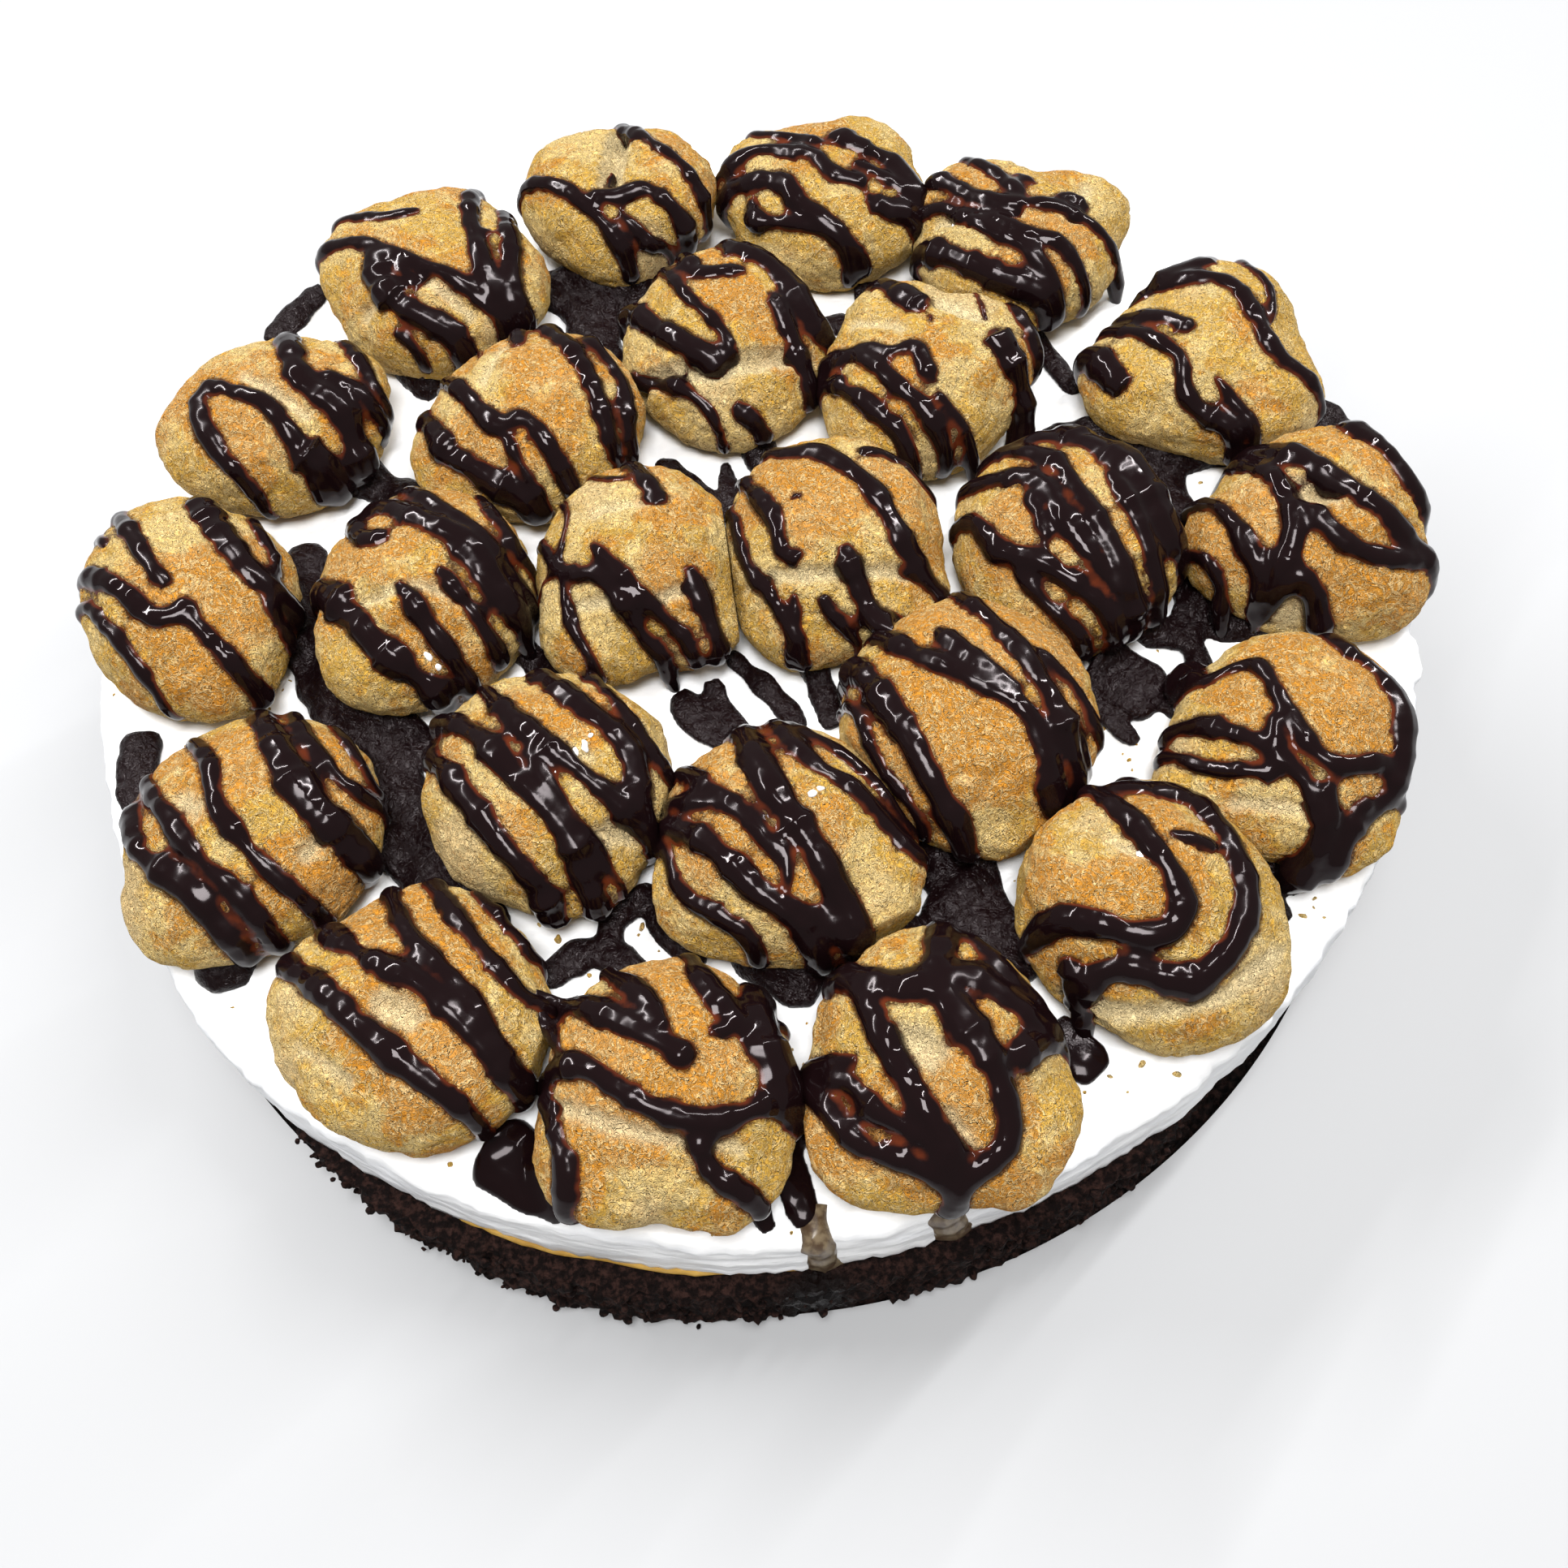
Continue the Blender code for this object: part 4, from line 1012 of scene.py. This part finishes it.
def out_by(point, amount):
    """Moves a point away from the axis by this much."""
    radius = math.hypot(point.co.x, point.co.y)
    point.co.x *= (radius + amount) / radius
    point.co.y *= (radius + amount) / radius


def swells(table, around):
    """The sum at this angle of the swells in a table of (degrees round, degrees wide, millimetres)."""
    total = 0.0
    for middle, spread, amount in table:
        away = math.remainder(around - math.radians(middle), math.tau)
        total += amount * math.exp(-((away / math.radians(spread)) ** 2))
    return total


def cream_swing(around):
    """How far the cream's wall stands out of round."""
    return swells(CREAM_SWELLS, around) + 0.6 * noise.noise(ring_at(around, 9, 4.1))


def steps_between(start, end, count):
    """Evenly spaced (radius, height) points from start up to but not including end."""
    return [tuple(Vector(start).lerp(Vector(end), step / count)) for step in range(count)]


# %% Make the cream
def foot_gap(spot):
    """Distance in plan from this spot to the nearest bun's foot."""
    gap = 99.0
    for bun in BUNS.values():
        away = Vector((spot.x - TOPPINGS_MIDDLE.x - bun.x, spot.y - TOPPINGS_MIDDLE.y - bun.y))
        if away.length < 34:
            gap = min(gap, away.length - 0.9 * reach(bun, away.normalized()))
    return gap


CREAM_STEPS = 520
# Where the cream's wall gets painted shade: degrees round, degrees wide, and how much
SHADED = ((-160, 34, 1.0), (-20, 30, 0.8), (110, 50, 0.6))
TORN = ((-4, 26, 1.0), (150, 30, 0.6))
profile = ([(0.0, CREAM_BOTTOM - 0.3), (CREAM_RADIUS - 3, CREAM_BOTTOM - 0.3)]
           + steps_between((CREAM_RADIUS + 0.6, CREAM_BOTTOM - 0.3), (CREAM_RADIUS - 0.1, 36.2), 18)
           + [(CREAM_RADIUS - 0.1, 36.2), (CREAM_RADIUS - 0.5, 37.2), (CREAM_RADIUS - 1.2, 37.8)]
           + steps_between((CREAM_RADIUS - 2.4, CREAM_TOP), (0.0, CREAM_TOP), 86) + [(0.0, CREAM_TOP)])
cream = spun(profile, CREAM_STEPS)
in_shade = cream.verts.layers.float.new("in_shade")
for point in cream.verts:
    radius = math.hypot(point.co.x, point.co.y)
    if radius < 1.0:
        continue
    around = math.atan2(point.co.y, point.co.x)
    ring = ring_at(around)
    inward = clamped((radius - CREAM_RADIUS + 26) / 20)
    out_by(point, inward * cream_swing(around))
    if radius > CREAM_RADIUS - 6:
        low = 1 - min(1.0, (point.co.z - CREAM_BOTTOM) / 9)
        high = max(0.0, (point.co.z - 30) / 8)
        marks = 0.5 * noise.noise(ring * 14 + Vector((0, 0, point.co.z / 3.5)))
        ragged = high * (1.2 * noise.noise(ring * 22) + 0.7 * noise.noise(ring * 70))
        frayed = low * 0.6 * noise.noise(ring * 60)
        ragged -= high * 2.6 * swells(TORN, around) * max(0.0, noise.noise(ring * 34) + 0.1)
        out_by(point, marks + ragged + frayed)
        # Painted shade: the wall below the top edge is marked grey at the angles in SHADED
        point[in_shade] = swells(SHADED, around) * clamped((37.6 - point.co.z) / 1.2)
        if point.co.z < CREAM_BOTTOM + 0.1:
            point.co.z -= 0.5 * max(0.0, noise.noise(ring * 14 + Vector((0, 0, 3))) + 0.35)
    if point.co.z > 37.0:
        spot = Vector((point.co.x, point.co.y))
        gap = foot_gap(spot + CREAM_MIDDLE)
        swelling = 1.1 * math.exp(-((gap - 0.6) / 2.2) ** 2) if gap < 9 else 0.0
        knife = 0.28 * noise.noise(Vector((spot.x / 16 + spot.y / 5, spot.y / 14 - spot.x / 30, 1.0)))
        lumps = 0.22 * noise.noise(Vector((spot.x / 5, spot.y / 5, 2.0)))
        point.co.z += swelling + knife + lumps
shift(cream, CREAM_MIDDLE)
print("cream triangles:", 2 * len(cream.faces))

# %% [markdown]
# ## The golden layer
#
# Only a thin bright line of it shows under the cream, so a plain disc with an uneven edge is enough.
# It laps a little over the layers above and below, because in the real tart nothing parts them.

# %% Make the golden layer
golden = spun([(0.0, SPONGE_TOP - 0.1), (GOLD_RADIUS - 0.6, SPONGE_TOP - 0.1), (GOLD_RADIUS + 0.1, 19.9),
               (GOLD_RADIUS + 0.2, 20.6), (GOLD_RADIUS - 0.4, GOLD_TOP + 0.2), (0.0, GOLD_TOP + 0.2)], 420)
for point in golden.verts:
    if math.hypot(point.co.x, point.co.y) > 100:
        around = math.atan2(point.co.y, point.co.x)
        ring = ring_at(around)
        uneven = 0.6 * noise.noise(ring * 9) + 0.4 * noise.noise(ring * 50)
        out_by(point, cream_swing(around) + swells(GOLD_SWELLS, around) + uneven)
shift(golden, CREAM_MIDDLE)
print("golden layer triangles:", 2 * len(golden.faces))

# %% [markdown]
# ## The sponge
#
# A cut sponge is all pores and torn crumbs, down to well under a millimetre. The side is a fine mesh
# whose points are pushed in and out by cells, and loose crumbs are real meshes stuck to it, because a
# bump alone leaves the outline of the cake too straight.

# %% Make the sponge's torn side
SPONGE_STEPS = 760
GOLD_SHOWS = ((-103, 18, 1.0),)
SYRUP_X = 7.0
side_foot, side_top = (SPONGE_RADIUS - 0.9, 0.0), (SPONGE_RADIUS - 1.2, SPONGE_TOP)
sponge = spun([(0.0, 0.0)] + steps_between(side_foot, side_top, 22)
              + [side_top, (SPONGE_RADIUS - 2.6, SPONGE_TOP), (SPONGE_RADIUS - 6, SPONGE_TOP),
                 (0.0, SPONGE_TOP)], SPONGE_STEPS)


def crags(place):
    """How far the sponge's side stands out here: torn cells over a slow swing and a few swells."""
    around = math.atan2(place.y, place.x)
    swing = 0.8 * noise.noise(ring_at(around, 3, 0.3))
    near, far = noise.voronoi(place / 3.4)[0][:2]
    cell = noise.cell(place / 3.4)
    fine = noise.turbulence(place / 1.1, 2, False)
    torn = 2.0 * (far - near) + 0.9 * cell + 0.7 * fine + 1.3 * noise.noise(place / 6)
    return swing + swells(SPONGE_SWELLS, around) + torn - 1.6


wet = sponge.verts.layers.float.new("wet")
for point in sponge.verts:
    radius = math.hypot(point.co.x, point.co.y)
    if radius > SPONGE_RADIUS - 3 and point.co.z > 0.2:
        push = crags(point.co)
        if point.co.y < 0:
            point[wet] = max(0.0, 1.3 - abs(point.co.x - SYRUP_X) / 7)
        out_by(point, push)
        if point.co.z > SPONGE_TOP - 0.3:
            shown = swells(GOLD_SHOWS, math.atan2(point.co.y, point.co.x))
            point.co.z += 0.35 * push + 0.9 - 1.2 * shown
shift(sponge, SPONGE_MIDDLE)
print("sponge triangles:", 2 * len(sponge.faces))

# %% Stick loose crumbs to it
CRUMBS = 1300
draw = random.Random(5)
crumbs = bmesh.new()
for _ in range(CRUMBS):
    around = draw.uniform(0, math.tau)
    height = draw.uniform(0.6, SPONGE_TOP + 1.2)
    size = draw.choice((0.35, 0.5, 0.6, 0.8, 1.1))
    ring = ring_at(around)
    place = ring * SPONGE_RADIUS + Vector((0, 0, height))
    place += ring * (crags(place) + draw.uniform(-0.4, 0.2) - 0.5)
    turn = Euler([draw.uniform(0, math.tau) for _ in range(3)]).to_matrix().to_4x4()
    stretch = Matrix.Diagonal((size, size * draw.uniform(0.6, 1.0), size * draw.uniform(0.5, 0.9), 1.0))
    placed = Matrix.Translation(place) @ turn @ stretch
    made = bmesh.ops.create_icosphere(crumbs, subdivisions=2, radius=1.0, matrix=placed)
    for point in made["verts"]:
        point.co += 0.28 * size * noise.noise_vector(point.co / (0.9 * size))
shift(crumbs, SPONGE_MIDDLE)
print("crumb triangles:", len(crumbs.faces))

# %% [markdown]
# ## Small things that ran, splashed or fell
#
# Thin syrup ran out of two buns and down the cream, the knife left flecks of cream on some crusts, and
# flakes of crust lie on the cream. Each fleck and flake is a real little mesh, so that it throws its own
# shadow. The flecks are laid where the photograph has them, and the flakes are strewn.

# %% Two runs of syrup down the cream's wall: place, height and width at each step
RUNS = [
    [(6.4, 36.8, 5.6), (7.0, 34.0, 5.0), (6.6, 30.0, 5.2), (6.4, 26.5, 6.0), (6.8, 22.5, 7.4)],
    [(27.0, 36.8, 8.4), (27.3, 34.0, 7.0), (27.8, 30.0, 6.4), (28.0, 25.5, 6.8), (28.2, 21.5, 7.6)],
]
FILM = 1.4
CREAM_SKIN = BVHTree.FromBMesh(cream)
runs = []
for steps in RUNS:
    run = []
    for (x, height, width), (next_x, next_height, next_width) in zip(steps, steps[1:]):
        for share in (0.0, 0.25, 0.5, 0.75):
            run.append([here + (there - here) * share for here, there in
                        ((x, next_x), (height, next_height), (width, next_width))])
    run.append(list(steps[-1]))
    route, balls = [], []
    for x, height, width in run:
        place, normal, _, _ = CREAM_SKIN.ray_cast(Vector((x, -200.0, min(height, 36.5))), Vector((0, 1, 0)))
        ball = ((width / 2) ** 2 + FILM**2) / (2 * FILM)
        route.append(Vector((place.x, place.y, height)) - normal * (ball - FILM))
        balls.append(ball)
    first = route[0] + Vector((0.0, 5.0, CREAM_TOP + FILM - balls[0] - route[0].z))
    runs.append(([first] + route, balls[:1] + balls))
SYRUP = poured(runs)
print("syrup triangles:", 2 * len(SYRUP.faces))


# %% Flecks of cream on the crusts and flakes of crust on the cream
def fleck(shape, place, normal, size, flat):
    """A lumpy little pat, wider than it is high, that lies on a surface."""
    spin = Matrix.Rotation(draw.uniform(0, math.tau), 4, "Z")
    lying = normal.to_track_quat("Z", "Y").to_matrix().to_4x4() @ spin
    stretch = Matrix.Diagonal((size, size * draw.uniform(0.45, 0.9), size * flat, 1.0))
    made = bmesh.ops.create_icosphere(shape, subdivisions=2, radius=1.0,
                                      matrix=Matrix.Translation(place) @ lying @ stretch)
    for point in made["verts"]:
        point.co += 0.30 * size * noise.noise_vector(point.co / (0.8 * size))


FLECKS = rows("""
-25 -44 1.3
-26.5 -45 0.9
-28 -47 1.1
-30 -49 0.7
-24 -42 0.6
-54 -21 1
-52.5 -22.5 0.7
13 -55 1
14.5 -54 0.7
65 -70 0.9
66.5 -71 0.6
50 77 1.3
52 76 0.8
55 75.5 1
58 75 0.7
""")
cream_flecks = bmesh.new()
for x, y, size in FLECKS:
    place, normal = ground(Vector((x, y)))
    fleck(cream_flecks, place, normal, size, 0.4)
shift(cream_flecks, TOPPINGS_MIDDLE)

FLAKES = 170
flakes = bmesh.new()
while len(flakes.verts) < FLAKES * 42:
    around = draw.uniform(-math.pi, 0.3)
    radius = draw.uniform(60, CREAM_RADIUS - 3)
    spot = ring_at(around, radius).to_2d() + CREAM_MIDDLE
    place, normal, _, _ = CREAM_SKIN.ray_cast(Vector((*spot, 60.0)), DOWN)
    if 0.4 < foot_gap(spot) < 9:
        fleck(flakes, place, normal, draw.choice((0.25, 0.35, 0.35, 0.5, 0.8)), 0.6)
# Flakes lie far from the chocolate, so they get no stain and no painted shadow
dry = flakes.verts.layers.float.new("dry")
for point in flakes.verts:
    point[dry] = 1.0
print("flecks and flakes, triangles:", len(cream_flecks.faces) + len(flakes.faces))

# %% [markdown]
# ## The choux crust's finish
#
# Baked choux is straw yellow with toasted patches where it stood proud in the oven, and paler where it
# split. Fine pale and brown fibres cover it, and their colours also paint highlights on the fibres and
# shade between them. Beside the chocolate the crust is darkened, partly by a soaked stain and partly by
# painted shadow. The mesh says where it is toasted, torn or near the chocolate, and noises of several
# sizes break the edges of those places up.

# %% Choux crust
STRAW = (0.64, 0.375, 0.060)
PALE = (0.78, 0.55, 0.20)
TOASTED = (0.56, 0.205, 0.014)
# Brown of the fibres, also used as painted shade between the pale ones
BROWN_FIBRE_AND_SHADE = (0.34, 0.120, 0.012)
# Pale of the fibres, also used as painted highlight on them
PALE_FIBRE_AND_HIGHLIGHT = (0.92, 0.72, 0.36)
INSIDE = (0.88, 0.72, 0.42)
BEIGE = (0.74, 0.54, 0.27)
# Dark of a soaked stain, also used as painted shadow beside the chocolate
STAIN_AND_SHADOW = (0.050, 0.010, 0.0035)

choux = Finish("choux_crust", STRAW, 0.72, Specular_IOR_Level=0.14)
blotches = choux.grain(6, 5.0, 0.65, distortion=0.5)
patches = choux.between(choux.grain(13, 3.0, 0.55) + (blotches - 0.5) * 0.6, 0.42, 0.53)
toast = choux.between(choux.measured("baked") + (blotches - 0.5) * 2.2, 0.35, 0.80)
fibres = choux.grain(1.5, 4.0, 0.7, distortion=1.6)
lace = choux.strands(choux.grain(3.0, 2.0, 0.6, distortion=1.6), 0.06)
fine_lace = choux.strands(choux.grain(1.5, 2.0, 0.6, distortion=2.0), 0.07)
speckle = choux.between(choux.grain(0.7, 2.0, 0.6), 0.52, 0.68)
colour = choux.mix(PALE, STRAW, patches)
colour = choux.mix(colour, TOASTED, toast * 0.8)
under_done = choux.between(0 - choux.measured("baked") + (blotches - 0.5) * 0.8, -0.05, 0.40)
colour = choux.mix(colour, BEIGE, under_done * 0.8)
# Brown speckle: brown fibres, and painted shade between the pale ones
colour = choux.mix(colour, BROWN_FIBRE_AND_SHADE, speckle * 0.50)
# Pale lace: pale fibres, and painted highlights on them
colour = choux.mix(colour, PALE_FIBRE_AND_HIGHLIGHT, lace * 0.50 + fine_lace * 0.30)
colour = choux.mix(colour, INSIDE, choux.measured("torn") * 0.75)
# Beside the chocolate the crust darkens: a soaked stain, and painted shadow of the chocolate
wet = 1 - choux.between(choux.measured("dry") + (fibres - 0.5) * 1.2, 0.0, 0.6)
colour = choux.mix(colour, STAIN_AND_SHADOW, wet * 0.9)
choux.paint("Base Color", colour)
choux.paint("Roughness", 0.78 - wet * 0.45)
coarse = choux.relief(lace * 0.4 + fine_lace * 0.25 + fibres, 1.1)
choux.paint("Normal", choux.relief(speckle, 0.22, coarse))

# %% [markdown]
# ## The chocolate's finish
#
# Fresh chocolate on the buns is a mirror with soft ripples. In the hollows between them it has dried
# to a wrinkled skin that shines less. It is one recipe with two surfaces.

# %% Chocolate, glossy on the buns
DARK = (0.0058, 0.0022, 0.0026)
THIN = (0.085, 0.016, 0.005)
GLINT = (1.0, 0.90, 0.92, 1.0)
glossy = Finish("chocolate_glossy", DARK, 0.13, Specular_IOR_Level=0.20, Specular_Tint=GLINT)
shallow = 1 - glossy.between(glossy.measured("thickness"), 0.10, 0.55)
glossy.paint("Base Color", glossy.mix(DARK, THIN, shallow * glossy.between(glossy.grain(5), 0.28, 0.58)))
glossy.paint("Roughness", 0.07 + glossy.between(glossy.grain(9, 3.0), 0.35, 0.7) * 0.14)
glossy.paint("Normal", glossy.relief(glossy.grain(3.2, 1.0, 0.5), 0.13))

# %% Chocolate, wrinkled where it has dried
dried = Finish("chocolate_dried", DARK, 0.32, Specular_IOR_Level=0.15, Specular_Tint=GLINT)
wrinkles = dried.grain(1.8, 3.0, 0.6, distortion=1.3)
old = 1 - dried.measured("fresh")
dried.paint("Roughness", 0.12 + old * (0.10 + dried.between(wrinkles, 0.4, 0.65) * 0.14))
dried.paint("Normal", dried.relief(wrinkles * old, 0.62))

# %% [markdown]
# ## Cream, golden layer and sponge
#
# Cream is white and soft, and a trace of blue keeps it fresh; parts of its wall are greyed with painted
# shade. The golden layer is moist and yellow. The sponge is nearly black in its pores, and painted light
# turns scattered spots of its crumb a warmer brown.

# %% Cream
cream_white = Finish("whipped_cream", (0.90, 0.90, 0.905), 0.42)
smears = cream_white.grain(14, 3.0, 0.5, stretch=(1.0, 2.2, 3.0))
white = cream_white.mix((0.86, 0.87, 0.89), (0.92, 0.925, 0.93), cream_white.between(smears, 0.35, 0.6))
shade = cream_white.measured("in_shade")
# Darker grey streaks, drawn only inside the painted shade of the wall
grey_streaks = cream_white.between(cream_white.grain(5, 4.0, 0.7, stretch=(1.0, 1.0, 2.5)), 0.55, 0.70)
rare = cream_white.between(cream_white.grain(30, 1.0), 0.52, 0.60)
# Painted shade: grey-blue on the wall wherever in_shade is set
white = cream_white.mix(white, (0.52, 0.545, 0.58), shade * 0.8)
cream_white.paint("Base Color", cream_white.mix(white, (0.30, 0.29, 0.29), grey_streaks * rare * shade * 0.6))
fine_marks = cream_white.relief(cream_white.grain(1.6, 3.0, 0.6), 0.10)
cream_white.paint("Normal", cream_white.relief(smears, 0.9, fine_marks))

# %% Golden layer
gold_gel = Finish("golden_layer_moist", (0.50, 0.28, 0.04), 0.28)
gold_gel.paint("Base Color", gold_gel.mix((0.28, 0.13, 0.015), (0.66, 0.42, 0.10), gold_gel.grain(4, 3.0)))
gold_gel.paint("Normal", gold_gel.relief(gold_gel.grain(1.2), 0.2))

# %% Sponge
sponge_dark = Finish("chocolate_sponge_crumb", (0.03, 0.015, 0.011), 0.9, Specular_IOR_Level=0.12)
pores = sponge_dark.cells(1.5)
# Painted light: scattered spots of the crumb are lit a warmer brown over the near-black
lit = sponge_dark.between(sponge_dark.grain(1.4, 4.0, 0.65), 0.42, 0.66)
soaked = sponge_dark.between(sponge_dark.measured("wet") + (lit - 0.5) * 0.4, 0.2, 0.8)
crumb_with_painted_light = sponge_dark.mix((0.005, 0.0024, 0.0021), (0.036, 0.0165, 0.013), lit * (1 - soaked))
sponge_dark.paint("Base Color", crumb_with_painted_light)
sponge_dark.paint("Roughness", 0.9 - soaked * 0.65)
rough_crumb = sponge_dark.relief(sponge_dark.grain(0.8, 4.0, 0.7), 0.6)
sponge_dark.paint("Normal", sponge_dark.relief(pores, 1.0, rough_crumb))

# %% Syrup
syrup = Finish("syrup_thin", (0.14, 0.085, 0.035), 0.28, Specular_IOR_Level=0.3)
runny = syrup.between(syrup.grain(3, stretch=(2.0, 2.0, 0.7)), 0.35, 0.65)
syrup.paint("Base Color", syrup.mix((0.075, 0.045, 0.025), (0.20, 0.15, 0.09), runny))

# %% [markdown]
# ## Assemble the tart
#
# Each crust and its chocolate stand for one solid. The toppings were shaped round their own middle, so
# they are shifted here to where they sit on the cake.

# %% Place every piece
for number in BUNS:
    node = f"bun_{number:02d}"
    for shape, kind, finish, slot in ((CRUSTS[number], "crust", choux, "choux"),
                                      (POURS[number], "chocolate", glossy, "chocolate")):
        shift(shape, TOPPINGS_MIDDLE)
        piece(f"{node}_{kind}", shape, finish, slot, node)
shift(POOL, TOPPINGS_MIDDLE)
piece("cream_chocolate", POOL, dried, "chocolate", "cream")
piece("cream_drum", cream, cream_white, "whipped_cream", "cream")
piece("cream_syrup", SYRUP, syrup, "whipped_cream", "cream")
piece("cream_flecks", cream_flecks, cream_white, "whipped_cream")
piece("crust_flakes", flakes, choux, "choux")
piece("golden_disc", golden, gold_gel, "golden_layer", "golden_layer")
piece("sponge_base", sponge, sponge_dark, "chocolate_sponge", "sponge")
piece("sponge_crumbs", crumbs, sponge_dark, "chocolate_sponge", "sponge")

# %% [markdown]
# ## Floor, light and camera
#
# A plain pale floor and a pale world stand in for a photographer's table. One broad lamp overhead lights
# the cream, and two narrow ones draw the thin bright lines along the chocolate.

# %% Floor
floor_mesh = bpy.data.meshes.new("floor")
floor_shape = bmesh.new()
bmesh.ops.create_grid(floor_shape, x_segments=1, y_segments=1, size=3.0)
floor_shape.to_mesh(floor_mesh)
floor_shape.free()
floor = new_object("floor", floor_mesh)
floor_mesh.materials.append(Finish("pale_floor", (0.44, 0.445, 0.455), 0.7).material)


# %% Lamps and world
LAMP_TARGET = Vector((0.0, 0.0, 0.04))


def lamp(name, place, size, power):
    """A rectangular lamp that shines at the middle of the tart."""
    light = bpy.data.lights.new(name, "AREA")
    light.shape = "RECTANGLE"
    light.size, light.size_y = size
    light.energy = power
    made = new_object(name, light)
    made.location = place
    made.rotation_euler = (LAMP_TARGET - Vector(place)).to_track_quat("-Z", "Y").to_euler()


lamp("broad_overhead", (-0.02, -0.26, 1.05), (0.35, 0.35), 10.3)
lamp("narrow_left", (-0.45, 0.35, 0.65), (0.8, 0.02), 6.4)
lamp("narrow_right", (0.40, 0.30, 0.7), (0.02, 0.7), 4.8)
world = bpy.data.worlds.new("pale_studio")
world.use_nodes = True
backdrop = world.node_tree.nodes["Background"]
backdrop.inputs["Color"].default_value = (1.0, 0.975, 0.945, 1.0)
backdrop.inputs["Strength"].default_value = 0.35
bpy.context.scene.world = world
bpy.context.scene.view_settings.view_transform = "Standard"

# %% Camera where the photograph was taken from
camera_data = bpy.data.cameras.new("camera")
camera_data.lens = 35.96
camera_data.sensor_width = 36.0
camera = new_object("camera", camera_data)
pitch, roll = math.radians(63.43), math.radians(-3.06)
forward = Vector((0.0, math.cos(pitch), -math.sin(pitch)))
across = Vector((1.0, 0.0, 0.0))
upward = across.cross(forward)
camera_x = across * math.cos(roll) + upward * math.sin(roll)
camera_y = upward * math.cos(roll) - across * math.sin(roll)
turned = Matrix((camera_x, camera_y, -forward)).transposed().to_4x4()
camera.matrix_world = Matrix.Translation(Vector((4.39, -168.90, 293.96)) * MM) @ turned
camera_data.clip_start = 0.01
bpy.context.scene.camera = camera
